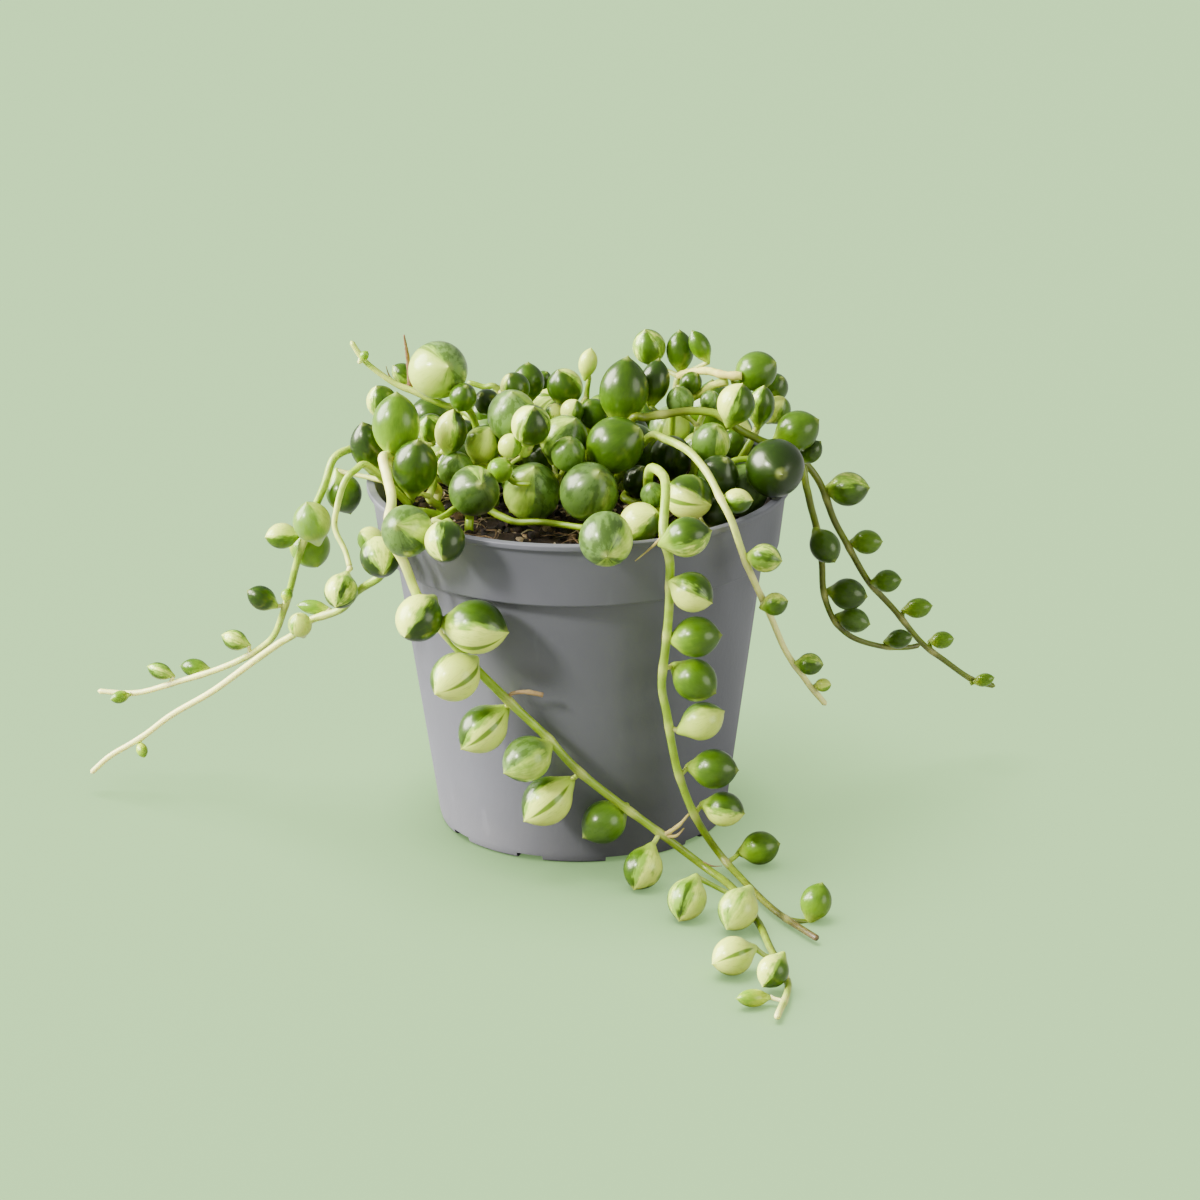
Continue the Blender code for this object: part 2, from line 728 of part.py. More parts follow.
def place_leaf(row, chain, width, filled, owner):
    """Puts a leaf on its line of sight, at the clear place nearest to the depth it asks for."""
    radius = row.width / 2
    if row.lies:
        start = seen_above(row.px, row.py, radius + FLOOR_CLEAR + STEM_GAP)
    elif row.behind is not None:
        start = seen_behind(row.px, row.py, row.behind)
    else:
        near = np.linalg.norm(pixels_of(chain) - (row.px, row.py), axis=1).argmin()
        start = seen_behind(row.px, row.py, chain[near][1])
    ray = unit(sight(row.px, row.py)[1])
    scale = PIXELS_PER_MM * CAMERA_AWAY / -((start - LOOK_AT - TOWARDS_CAMERA * CAMERA_AWAY) @ TOWARDS_CAMERA)
    axis = tip_axis(row.tip, radius * row.long, scale, TIP_AHEAD if row.side > 0 else TIP_BACK)
    own_stem = chain[2:] if chain is not None else None
    best, best_cost = None, 1e9
    for step in DEPTHS:
        middle = start + ray * step
        balls, radii = leaf_balls(middle, radius, axis, row.long)
        room = filled.room(balls, radii, skip=owner) - CLEAR
        if own_stem is not None:
            apart = np.linalg.norm(own_stem - middle, axis=1).min() - radius - width / 2
            room = min(room, apart - STEM_GAP)
        mates = filled.owners == owner
        if mates.any():
            apart = np.linalg.norm(filled.middles[mates] - middle, axis=1) - filled.radii[mates] - radius
            room = min(room, apart.min() - LEAF_GAP)
        wrong_side = row.behind is None and not row.lies and step * row.side > 0
        cost = max(-room, 0.0) * OVERLAP_COST + abs(step) + (WRONG_SIDE_COST if wrong_side else 0.0)
        if cost < best_cost:
            best, best_cost = middle, cost
    return best, radius, axis


def stalk_path(base, axis, foot):
    """A leaf's stalk: out of the leaf along its axis, then over to the stem."""
    reach = np.linalg.norm(base - foot)
    bend = base - axis * STALK_BEND * reach
    share = np.linspace(0.0, 1.0, 5)[:, None]
    return (1 - share) ** 2 * base + 2 * share * (1 - share) * bend + share**2 * foot


def best_stalk(middle, radius, axis, long, chain, filled, owner):
    """The clearest short stalk from a leaf's base to its stem."""
    base = middle - axis * radius * long * BASE_REACH
    feet = chain[2:]
    order = np.argsort(np.linalg.norm(feet - base, axis=1))[:FEET_TRIED]
    best, best_cost = None, 1e9
    for index in order:
        path = stalk_path(base, axis, feet[index])
        room = filled.room(path[:-1], STALK_RADIUS, skip=owner)
        mates = filled.owners == owner
        own = np.linalg.norm(path[1:-1, None] - filled.middles[None, mates], axis=2) - filled.radii[mates]
        own_room = own.min() - STALK_RADIUS if mates.any() else 1.0
        crowded = STALK_CLEAR_COST * max(CLEAR - room, 0) + STALK_OWN_COST * max(-own_room, 0)
        cost = np.linalg.norm(feet[index] - base) + crowded
        if cost < best_cost:
            best, best_cost = path, cost
    return bent_clear(best, STALK_RADIUS, filled, owner, 1, fixed_end=1, rounds=STALK_ROUNDS)


def heap_chain(plan, places):
    """A stem through the heap: from its root past the base of each of its leaves."""
    points = root_points(plan.root)
    for middle, radius, axis, long in places:
        points.append(middle - axis * (radius * long + HEAP_STALK))
    return smooth_chain(points, STEM_STEP)


class Plant:
    """Every stem and leaf of the plant, with the balls they fill."""

    def __init__(self):
        self.filled = Filled()
        self.names = []
        self.chains = []
        self.widths = []
        self.leaves = []
        self.rows = []

    def start(self, name, chain, width):
        """Begins a stem and gives its number."""
        self.names.append(name)
        self.chains.append(chain)
        self.widths.append(width)
        self.leaves.append([])
        self.rows.append(None)
        return len(self.names) - 1

    def hold(self, owner):
        """Counts a stem's chain as filled. The first points stand in the soil."""
        chain = self.chains[owner]
        radii = stem_radii(self.widths[owner], len(chain))
        self.rows[owner] = self.filled.add(chain[2:], radii[2:], owner)

    def bend_again(self, owner):
        """Bends a given route clear of what was set after it."""
        rows = self.rows[owner]
        radii = self.filled.radii[rows].copy()
        self.filled.radii[rows] = OUT_OF_REACH
        half = self.widths[owner] / 2
        chain = bent_clear(self.chains[owner], half, self.filled, owner, ROOT_STEPS, keeps_shape=True)
        self.chains[owner] = chain
        self.filled.middles[rows] = chain[2:]
        self.filled.radii[rows] = radii

    def grow_shown(self):
        """The stems that the photograph shows: routes first, then leaves, then the stems of the heap."""
        plans = TRAILING + HEAPED
        for plan in plans:
            owner = self.start(plan.name, routed(plan) if plan.route else None, plan.width)
            if plan.route:
                self.hold(owner)
        places = []
        for owner, plan in enumerate(plans):
            places.append([])
            for row in plan.leaves:
                middle, radius, axis = place_leaf(
                    row, self.chains[owner], plan.width, self.filled, owner
                )
                places[owner].append((middle, radius, axis, row.long))
                self.filled.add(*leaf_balls(middle, radius, axis, row.long), owner)
        for owner, plan in enumerate(plans):
            if plan.route:
                self.bend_again(owner)
        for owner, plan in enumerate(plans):
            if not plan.route:
                chain = heap_chain(plan, places[owner])
                self.chains[owner] = bent_clear(chain, plan.width / 2, self.filled, owner, ROOT_STEPS)
                self.hold(owner)
        for owner, plan in enumerate(plans):
            for middle, radius, axis, long in places[owner]:
                stalk = best_stalk(middle, radius, axis, long, self.chains[owner], self.filled, owner)
                self.filled.add(stalk[1:-1], STALK_RADIUS, owner)
                self.leaves[owner].append(Grown(middle, radius, axis, long, stalk))

    def grow_hanging(self):
        """The stems over the back of the rim, with their leaves to each side and outwards by turns."""
        draw = random.Random(SEED)
        up = np.array((0.0, 0.0, 1.0))
        for plan in HANGING:
            turn = math.radians(plan.azimuth)
            out = np.array((math.cos(turn), math.sin(turn), 0.0))
            along = np.cross(up, out)
            points = root_points(out[:2] * HANGING_ROOT)
            points += [out * away + up * height for away, height in OVER_RIM]
            points.append(out * OVER_RIM[-1][0] + up * (RIM_HEIGHT - plan.drop))
            chain = smooth_chain(points, STEM_STEP)
            past = np.clip(np.linalg.norm(chain[:, :2], axis=1, keepdims=True) - RIM_RADIUS, 0.0, 1.0)
            chain += along * np.sin(chain[:, 2:] * WAVE) * past
            owner = self.start(plan.name, chain, HIDDEN_WIDTH)
            self.hold(owner)
            low = np.flatnonzero(past[:, 0] > 0.5)[0]
            for number in range(plan.count):
                share = (number + 0.3) / plan.count
                foot = chain[low + int(share * (len(chain) - 1 - low))]
                side = (along, -along, out)[number % 3]
                way = unit(side + out * draw.uniform(0.2, 0.7) - up * draw.uniform(0.0, 0.5))
                radius = 2.9 - 1.3 * share + draw.uniform(-0.2, 0.2)
                self.try_leaf(foot, way, radius, draw.uniform(1.1, 1.6), owner)

    def grow_creeping(self):
        """The stems behind and inside the heap. Each creeps bend by bend where there is room, and sets
        leaves after each bend. A bend or a leaf that would touch anything is drawn again."""
        draw = random.Random(SEED)
        owners = [self.start(plan.name, root_points(plan.root), HIDDEN_WIDTH) for plan in CREEPING]
        for owner in owners:
            self.filled.add(np.array(self.chains[owner][2:]), HIDDEN_WIDTH / 2, owner)
        for owner, plan in zip(owners, CREEPING):
            chain = self.chains[owner]
            heading = math.radians(plan.heading)
            self.sprout(draw, chain, owner)
            for _ in range(plan.bends):
                grown = self.next_bend(draw, chain[-1], heading)
                if grown is None:
                    heading += 2.1
                    continue
                line = even_steps(np.array((chain[-1], grown)), 1.0)
                self.filled.add(line[1:], HIDDEN_WIDTH / 2, owner)
                chain.append(grown)
                self.sprout(draw, chain, owner)
            self.chains[owner] = smooth_chain(chain, STEM_STEP)

    def next_bend(self, draw, tip, heading):
        """A clear place for the stem's next bend, 3 to 4.5 mm on."""
        for _ in range(BEND_DRAWS):
            turn = heading + draw.uniform(-0.9, 0.9)
            way = unit(np.array((math.cos(turn), math.sin(turn), draw.uniform(-0.3, 0.6))))
            spot = tip + way * draw.uniform(3.0, 4.5)
            line = even_steps(np.array((tip, spot)), 0.8)
            inside = math.hypot(spot[0], spot[1]) < HEAP_EDGE
            clear = self.filled.room(line[2:], HIDDEN_WIDTH / 2) > CLEAR + BENDS_CLEAR_BY
            if inside and clear and self.is_hidden(spot, 0.6):
                return spot
        return None

    def sprout(self, draw, chain, owner):
        """Up to four leaves round the stem's last bend, larger ones first."""
        for radius in SPROUT_RADII:
            for _ in range(LEAF_DRAWS):
                way = unit(np.array([draw.gauss(0.0, 1.0) for _ in range(3)]) + (0.0, 0.3, 0.4))
                foot = chain[-1] + (chain[-2] - chain[-1]) * draw.uniform(0.0, 0.3)
                size = radius + draw.uniform(-0.25, 0.25)
                upright = abs(way @ unit(chain[-1] - chain[-2])) < 0.8
                if upright and self.try_leaf(foot, way, size, draw.uniform(1.0, 1.8), owner):
                    break

    def try_leaf(self, foot, way, radius, reach, owner):
        """Sets a leaf on a stalk of this reach, unless it would touch anything or show."""
        middle = foot + way * (radius * HIDDEN_LONG + HIDDEN_WIDTH / 2 + reach)
        outside = np.linalg.norm(middle[:2]) > RIM_RADIUS and middle[1] > 15.0
        if not (outside or self.is_hidden(middle, radius)):
            return False
        balls, radii = leaf_balls(middle, radius, way, HIDDEN_LONG)
        stalk = even_steps(np.array((middle - way * radius * 1.04, foot)), 0.8)
        if self.filled.room(balls, radii, skip=owner) < CLEAR:
            return False
        if self.filled.room(stalk[:-1], STALK_RADIUS, skip=owner) < CLEAR:
            return False
        mates = self.filled.owners == owner
        if mates.any():
            apart = np.linalg.norm(balls[:, None] - self.filled.middles[None, mates], axis=2)
            if (apart - radii[:, None] - self.filled.radii[None, mates]).min() < OWN_GAP:
                return False
        self.filled.add(balls, radii, owner)
        self.filled.add(stalk[1:-1], STALK_RADIUS, owner)
        self.leaves[owner].append(Grown(middle, radius, way, HIDDEN_LONG, stalk_path(stalk[0], way, foot)))
        return True

    def is_hidden(self, spot, radius):
        """Behind the heap's front, and under its skyline as the camera sees it."""
        px, py = pixels_of(spot)[0]
        over = np.interp(px, SKYLINE[:, 0], SKYLINE[:, 1])
        return spot[1] > HEAP_FRONT and py - radius * PIXELS_PER_MM > over + UNDER_SKYLINE


def frames_along(path):
    """Two unit vectors across the path at each point, turned as little as possible from point to point.
    At a bend they span the plane halfway between both runs."""
    runs = np.diff(path, axis=0)
    runs /= np.maximum(np.linalg.norm(runs, axis=1, keepdims=True), 1e-9)
    ways = np.concatenate((runs[:1], runs[:-1] + runs[1:], runs[-1:]))
    ways /= np.maximum(np.linalg.norm(ways, axis=1, keepdims=True), 1e-9)
    side = unit(np.cross(ways[0], (0.0, 0.0, 1.0) if abs(ways[0][2]) < 0.9 else (1.0, 0.0, 0.0)))
    sides = []
    for way in ways:
        side = unit(side - way * (side @ way))
        sides.append(side)
    sides = np.array(sides)
    return sides, np.cross(ways, sides)


def carried(path, radii, count):
    """A ring of points round each point of the path, as an array of rings."""
    first, second = frames_along(path)
    turn = np.arange(count) * 2 * math.pi / count
    ring = np.cos(turn)[None, :, None] * first[:, None] + np.sin(turn)[None, :, None] * second[:, None]
    return path[:, None] + ring * np.asarray(radii)[:, None, None]


def closed_rings(rings, name):
    """A mesh of stacked rings with a face on each end. A ring of no size becomes a point."""
    shape = bmesh.new()
    rows = [[shape.verts.new(point * MM) for point in ring] for ring in rings]
    for low, high in zip(rows, rows[1:]):
        for index in range(len(low)):
            following = (index + 1) % len(low)
            shape.faces.new((low[index], low[following], high[following], high[index]))
    for row in (rows[0], rows[-1]):
        shape.faces.new(row)
    bmesh.ops.remove_doubles(shape, verts=shape.verts, dist=1e-7)
    bmesh.ops.recalc_face_normals(shape, faces=shape.faces)
    mesh = bpy.data.meshes.new(name)
    shape.to_mesh(mesh)
    shape.free()
    return mesh


def add_object(name, mesh):
    """A new object in the scene that holds this mesh."""
    thing = bpy.data.objects.new(name, mesh)
    bpy.context.scene.collection.objects.link(thing)
    return thing


def paint(thing, kind):
    """Gives the object the one material of its kind."""
    red, green, blue, roughness = COLOURS[kind]
    material = bpy.data.materials.get(kind) or bpy.data.materials.new(kind)
    material.use_nodes = True
    shader = material.node_tree.nodes["Principled BSDF"]
    shader.inputs["Base Color"].default_value = (red, green, blue, 1.0)
    shader.inputs["Roughness"].default_value = roughness
    thing.data.materials.clear()
    thing.data.materials.append(material)


def combine(thing, pieces, operation):
    """One Boolean with all the pieces, applied, after which the pieces are removed."""
    holder = bpy.data.collections.new(thing.name + "_pieces")
    bpy.context.scene.collection.children.link(holder)
    for piece in pieces:
        for old in list(piece.users_collection):
            old.objects.unlink(piece)
        holder.objects.link(piece)
        piece.hide_render = True
        piece.display_type = "WIRE"
    boolean = thing.modifiers.new("combine", "BOOLEAN")
    boolean.operation = operation
    boolean.operand_type = "COLLECTION"
    boolean.collection = holder
    boolean.solver = "EXACT"
    bpy.context.view_layer.update()
    graph = bpy.context.evaluated_depsgraph_get()
    joined = bpy.data.meshes.new_from_object(thing.evaluated_get(graph))
    thing.modifiers.clear()
    thing.data = joined
    for piece in pieces:
        bpy.data.objects.remove(piece)
    bpy.data.collections.remove(holder)


def shade(thing, angle):
    """Smooth shading with an edge wherever two faces meet at more than this angle, in degrees."""
    thing.data.shade_smooth()
    thing.data.set_sharp_from_angle(angle=math.radians(angle))


def turned(profile, sides, name):
    """A closed profile of (distance from the axis, height) turned round the axis. Its ends are on it."""
    shape = bmesh.new()
    turn = np.arange(sides) * 2 * math.pi / sides
    rows = []
    for out, height in profile:
        if out == 0:
            rows.append([shape.verts.new((0, 0, height * MM))] * sides)
        else:
            rows.append(
                [shape.verts.new((out * math.cos(a) * MM, out * math.sin(a) * MM, height * MM)) for a in turn]
            )
    for low, high in zip(rows, rows[1:]):
        for index in range(sides):
            following = (index + 1) % sides
            corners = []
            for vert in (low[index], low[following], high[following], high[index]):
                if vert not in corners:
                    corners.append(vert)
            shape.faces.new(corners)
    bmesh.ops.recalc_face_normals(shape, faces=shape.faces)
    mesh = bpy.data.meshes.new(name)
    shape.to_mesh(mesh)
    shape.free()
    return mesh


def pot_profile():
    """Up the outside from the middle of the base, over the lip and down the inside."""
    lip_foot = RIM_HEIGHT - LIP_THICKNESS
    return (
        (0, 0),
        (FOOT_RADIUS, 0),
        (FOOT_RADIUS + 0.45, 0.25),
        (FOOT_RADIUS + 0.7, 1.1),
        (BODY_FOOT_RADIUS, BODY_FOOT_HEIGHT),
        (BODY_TOP_RADIUS, COLLAR_FOOT_HEIGHT),
        (COLLAR_FOOT_RADIUS, COLLAR_FOOT_HEIGHT),
        (COLLAR_TOP_RADIUS, lip_foot),
        (RIM_RADIUS, lip_foot + 0.1),
        (RIM_RADIUS, RIM_HEIGHT - 0.25),
        (RIM_RADIUS - 0.3, RIM_HEIGHT),
        (RIM_RADIUS - 1.1, RIM_HEIGHT),
        (COLLAR_TOP_RADIUS - WALL, lip_foot - 0.6),
        (COLLAR_FOOT_RADIUS - WALL, COLLAR_FOOT_HEIGHT + WALL),
        (BODY_TOP_RADIUS - WALL, COLLAR_FOOT_HEIGHT - 0.4),
        (BODY_FOOT_RADIUS - WALL, BODY_FOOT_HEIGHT),
        (INNER_FOOT_RADIUS, BASE_THICKNESS),
        (0, BASE_THICKNESS),
    )


def make_pot():
    """The pot's thin shell, with notches under its foot and a drain at the inner end of each."""
    pot = add_object("pot", turned(pot_profile(), POT_SIDES, "pot"))
    cutters = []
    for number in range(NOTCH_COUNT):
        angle = NOTCH_FIRST + number * 2 * math.pi / NOTCH_COUNT - math.pi / 2
        bpy.ops.mesh.primitive_cube_add(size=1)
        notch = bpy.context.object
        length = BODY_FOOT_RADIUS + CUTTER_SPARE - NOTCH_INNER_RADIUS
        middle = NOTCH_INNER_RADIUS + length / 2
        notch.scale = (length * MM, NOTCH_WIDTH * MM, 2 * NOTCH_HEIGHT * MM)
        notch.location = (middle * math.cos(angle) * MM, middle * math.sin(angle) * MM, 0)
        notch.rotation_euler = (0, 0, angle)
        cutters.append(notch)
        bpy.ops.mesh.primitive_cylinder_add(
            vertices=DRAIN_SIDES, radius=DRAIN_RADIUS * MM, depth=DRAIN_ROD * MM
        )
        drain = bpy.context.object
        drain.location = (DRAIN_PLACE * math.cos(angle) * MM, DRAIN_PLACE * math.sin(angle) * MM, 0)
        cutters.append(drain)
    combine(pot, cutters, "DIFFERENCE")
    shade(pot, POT_EDGE_ANGLE)
    paint(pot, "pot")


def soil_height(x, y):
    """A gently uneven top, SOIL_RELIEF up and down."""
    return SOIL_TOP + SOIL_RELIEF * (np.sin(0.31 * x + 0.9) * np.cos(0.27 * y - 0.4))


def make_soil(roots):
    """A plug that fills the pot to SOIL_TOP, a gap off its wall, with a plain hole for each stem."""
    bottom = BASE_THICKNESS + SOIL_GAP
    foot = BODY_FOOT_RADIUS - WALL - SOIL_GAP
    outline = (
        (INNER_FOOT_RADIUS - SOIL_GAP, bottom),
        (foot, BODY_FOOT_HEIGHT),
        (BODY_TOP_RADIUS - WALL - SOIL_GAP, COLLAR_FOOT_HEIGHT - 0.4),
        (COLLAR_FOOT_RADIUS - WALL - SOIL_GAP, COLLAR_FOOT_HEIGHT + WALL + 0.4),
    )
    profile = [(0, bottom), *outline]
    slope = (COLLAR_TOP_RADIUS - COLLAR_FOOT_RADIUS) / (RIM_HEIGHT - COLLAR_FOOT_HEIGHT)
    edge = COLLAR_FOOT_RADIUS - WALL - SOIL_GAP + slope * (SOIL_TOP - COLLAR_FOOT_HEIGHT - 1.4)
    profile += [(edge * ring / SOIL_RINGS, SOIL_TOP) for ring in range(SOIL_RINGS, 0, -1)]
    profile.append((0, SOIL_TOP))
    soil = add_object("soil", turned(profile, SOIL_SIDES, "soil"))
    for vert in soil.data.vertices:
        if vert.co.z > (SOIL_TOP - 0.01) * MM:
            vert.co.z = float(soil_height(vert.co.x / MM, vert.co.y / MM)) * MM
    cutters = []
    for (x, y), width in roots:
        radius = (width / 2 + CLEAR) / math.cos(math.pi / HOLE_SIDES)
        depth = 2 * HOLE_DEPTH
        bpy.ops.mesh.primitive_cylinder_add(vertices=HOLE_SIDES, radius=radius * MM, depth=depth * MM)
        hole = bpy.context.object
        hole.location = (x * MM, y * MM, SOIL_TOP * MM)
        cutters.append(hole)
    combine(soil, cutters, "DIFFERENCE")
    shade(soil, SOIL_EDGE_ANGLE)
    paint(soil, "soil")


# Rings of a leaf from its base to just under its point: (place along the axis, distance from it), in
# radii. Small leaves and the hidden ones have fewer.
LEAF_RINGS = ((-1.0, 0.20), (-0.70, 0.74), (0.0, 1.04), (0.66, 0.78))
SMALL_LEAF_RINGS = ((-1.0, 0.22), (-0.42, 0.98), (0.45, 0.94))
SMALL_LEAF = 2.1
LONG_STALK = 2.6


def leaf_mesh(grown, name, plain):
    """A leaf and its stalk in one skin: up the stalk, round the leaf and out to the point."""
    reach = np.linalg.norm(grown.stalk[0] - grown.stalk[-1])
    path = list(grown.stalk[::-1][[0, 2]] if reach > LONG_STALK else grown.stalk[-1:])
    radii = [STALK_RADIUS] * len(path)
    for place, out in SMALL_LEAF_RINGS if plain else LEAF_RINGS:
        path.append(grown.middle + grown.axis * place * grown.radius * grown.long)
        radii.append(out * grown.radius)
    path.append(grown.middle + grown.axis * TIP_REACH * grown.radius * grown.long)
    radii.append(0.0)
    return closed_rings(carried(np.array(path), radii, LEAF_SIDES - plain), name)


def bends_of(chain, first, last):
    """The points between two others that keep straight runs within STEM_SLACK of the chain."""
    line = unit(chain[last] - chain[first])
    away = chain[first : last + 1] - chain[first]
    apart = np.linalg.norm(away - np.outer(away @ line, line), axis=1)
    worst = first + int(apart.argmax())
    if apart.max() < STEM_SLACK:
        return [last]
    return bends_of(chain, first, worst) + bends_of(chain, worst, last)


def make_stem(name, chain, width, leaves, hidden):
    """The stem as a tube with a ring at each bend and at the foot of each stalk, joined with its leaves."""
    feet = [int(np.linalg.norm(chain - grown.stalk[-1], axis=1).argmin()) for grown in leaves]
    held = sorted({0, ROOT_STEPS, len(chain) - 1, *feet})
    rings = [0]
    for first, last in zip(held, held[1:]):
        rings += bends_of(chain, first, last)
    radii = stem_radii(width, len(chain))[rings]
    body = add_object(name, closed_rings(carried(chain[rings], radii, STEM_SIDES), name))
    pieces = []
    for grown, foot in zip(leaves, feet):
        plain = hidden or grown.radius < SMALL_LEAF
        grown.stalk[-1] = chain[foot]
        pieces.append(add_object(f"{name}_leaf", leaf_mesh(grown, f"{name}_leaf", plain)))
    combine(body, pieces, "UNION")
    shade(body, LEAF_EDGE_ANGLE)
    paint(body, "leafy")


def grow_plant():
    """The whole plant, the stems that show first."""
    plant = Plant()
    plant.grow_shown()
    plant.grow_hanging()
    plant.grow_creeping()
    return plant


def main():
    """Clears the scene and models the pot, the soil and each leafy stem."""
    for thing in list(bpy.data.objects):
        bpy.data.objects.remove(thing)
    plant = grow_plant()
    make_pot()
    roots = [(chain[0][:2], width) for chain, width in zip(plant.chains, plant.widths)]
    make_soil(roots)
    for name, chain, width, leaves in zip(plant.names, plant.chains, plant.widths, plant.leaves):
        make_stem(name, chain, width, leaves, name.startswith(("stem_inner", "stem_back", "stem_over")))


main()
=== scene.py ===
"""Looks of a potted string of watermelons: round, tip-pointed, cream-striped leaves on trailing stems,
a grey plastic nursery pot and its crumbly soil, on a plain sage ground.

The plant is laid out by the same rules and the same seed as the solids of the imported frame, so each
leaf and stem lies where its solid does, and its finer skin takes that solid's place. Lengths are in
millimetres, and MM turns them to Blender's metres when a mesh is made. +Z is up and the front is -Y."""

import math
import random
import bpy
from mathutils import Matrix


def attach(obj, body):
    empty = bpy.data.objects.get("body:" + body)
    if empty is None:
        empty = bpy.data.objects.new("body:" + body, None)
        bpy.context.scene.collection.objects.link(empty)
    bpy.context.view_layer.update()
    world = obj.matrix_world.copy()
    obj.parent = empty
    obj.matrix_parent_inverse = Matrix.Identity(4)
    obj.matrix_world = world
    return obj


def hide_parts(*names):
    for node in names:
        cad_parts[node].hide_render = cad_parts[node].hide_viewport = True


bl_info = {
    "name": "Potted String of Watermelons",
    "version": (1, 0, 0),
    "blender": (4, 5, 0),
    "location": "3D View > Sidebar > Potted Plant",
    "description": "Adds the leafy stems, dried bits, pot, soil, ground, lights and camera",
    "category": "Add Mesh",
}

from collections import namedtuple

import bpy
import numpy as np
from mathutils import Matrix, Vector

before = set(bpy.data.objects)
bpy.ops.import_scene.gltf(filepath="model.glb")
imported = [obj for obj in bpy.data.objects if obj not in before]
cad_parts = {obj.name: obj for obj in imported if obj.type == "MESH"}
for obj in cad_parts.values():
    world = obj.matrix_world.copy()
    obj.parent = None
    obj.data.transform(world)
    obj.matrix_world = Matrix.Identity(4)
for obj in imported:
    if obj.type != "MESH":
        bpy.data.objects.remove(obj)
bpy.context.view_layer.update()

MM = 0.001

# The pot
RIM_RADIUS = 30.0
RIM_HEIGHT = 50.4
LIP_THICKNESS = 0.9
COLLAR_TOP_RADIUS = 29.27
COLLAR_FOOT_RADIUS = 28.2
COLLAR_FOOT_HEIGHT = 41.0
BODY_TOP_RADIUS = 26.2
BODY_FOOT_RADIUS = 21.06
BODY_FOOT_HEIGHT = 4.0
FOOT_RADIUS = 20.0
INNER_FOOT_RADIUS = 18.4
WALL = 0.8
WALL_BALLS = 90
WALL_HALF = 0.6
LIP_MIDDLE_IN = 0.65
LIP_MIDDLE_DOWN = 0.55
BASE_THICKNESS = 1.8
NOTCH_COUNT = 10
NOTCH_WIDTH = 3.9
NOTCH_HEIGHT = 0.85
NOTCH_FIRST = math.radians(14)
NOTCH_INNER_RADIUS = 10.5
DRAIN_RADIUS = 1.6
DRAIN_PLACE = 13.0
DRAIN_SIDES = 32
DRAIN_ROD = 8.0
CUTTER_SPARE = 4.0

# The soil
SOIL_TOP = 45.7
SOIL_RELIEF = 0.35
SOIL_GAP = 0.3
HOLE_DEPTH = 3.0

# The plant
CLEAR = 0.35
STEM_STEP = 1.3
ROOT_STEPS = 3
STALK_RADIUS = 0.42
TIP_REACH = 1.14
FLOOR_CLEAR = 0.2
SEED = 7
FAR = 99.0
OUT_OF_REACH = -99.0

# How a chain is bent clear: its rounds, the last of which only settle it, and how it moves in each
BEND_ROUNDS = 90
STALK_ROUNDS = 40
SETTLING_ROUNDS = 12
SMOOTHING = 0.3
OWN_GAP = 0.15
BEND_SPARE = 0.12
HOLDER_SPARE = 0.1
NUDGE = 0.05
LONGEST_PUSH = 0.8
PUSH_SHARE = 0.6

# Balls that stand for a leaf's tip and base: how far each lies inside the end, and its radius, in radii
TIP_BALL = (0.2, 0.25)
BASE_BALL = (0.3, 0.35)

# Where a leaf may lie on its line of sight, and what counts against a place
DEPTHS = np.arange(-7.0, 9.01, 0.2)
OVERLAP_COST = 60
WRONG_SIDE_COST = 1.5
STEM_GAP = 0.05
LEAF_GAP = 0.1
TIP_AHEAD = 0.6
TIP_BACK = -0.3
FLATTEST_TIP = 0.97

# Stalks
BASE_REACH = 0.98
STALK_BEND = 0.45
FEET_TRIED = 14
STALK_CLEAR_COST = 8
STALK_OWN_COST = 1.5
HEAP_STALK = 1.3

# The stems that nothing shows: how they wave, bend and set their leaves
HIDDEN_LONG = 1.06
WAVE = 0.35
BENDS_CLEAR_BY = 0.15
BEND_DRAWS = 240
LEAF_DRAWS = 90
SPROUT_RADII = (3.7, 3.2, 2.7, 2.2)
HEAP_EDGE = 25.5
HEAP_FRONT = 1.0
UNDER_SKYLINE = 2

# The camera that the pixels belong to: what it looks at, from where, and its scale there
PHOTO_PIXELS = 1200
LOOK_AT = np.array((0.0, 0.0, 27.0))
LOOK_AT_PIXEL = (581.2, 632.9)
CAMERA_AWAY = 700.0
CAMERA_TILT = math.radians(20.09)
CAMERA_ROLL = math.radians(-0.72)
PIXELS_PER_MM = 7.011
TOWARDS_CAMERA = np.array((0.0, -math.cos(CAMERA_TILT), math.sin(CAMERA_TILT)))
CAMERA_RIGHT = np.array((1.0, 0.0, 0.0))
CAMERA_UP = np.array((0.0, math.sin(CAMERA_TILT), math.cos(CAMERA_TILT)))

# look: see Look. px, py: the middle of the leaf in the photograph. width: across the leaf. behind: its
# distance behind the axis, or None to hang beside its stem. tip: from the middle to the tip, in pixels,
# or None to point away from the camera. long: length over width. lies: it rests on the surface.
# side: 1 before its stem, -1 behind it.
Leaf = namedtuple("Leaf", "look px py width behind tip long lies side")
Stem = namedtuple("Stem", "name root route floor width leaves tones")
Grown = namedtuple("Grown", "middle radius axis long stalk look")

# tone: the green, from 0 dark to 1 yellow. creams: stripes from base to tip, each as the clock direction
# in which the camera sees its middle (0 up, 90 right) and half its width, in degrees. slit: the clear
# line of the leaf, as its clock direction and how far it lies from the middle. veil: how much thin pale
# streaking covers the green.
Look = namedtuple("Look", "tone creams slit veil")


def look(tone, *creams, slit=None, veil=0.0):
    return Look(tone, creams, slit, veil)


def leaf(looks, px, py, width, behind=None, tip=None, long=1.06, lies=False, side=1):
    return Leaf(looks, px, py, width, behind, tip, long, lies, side)


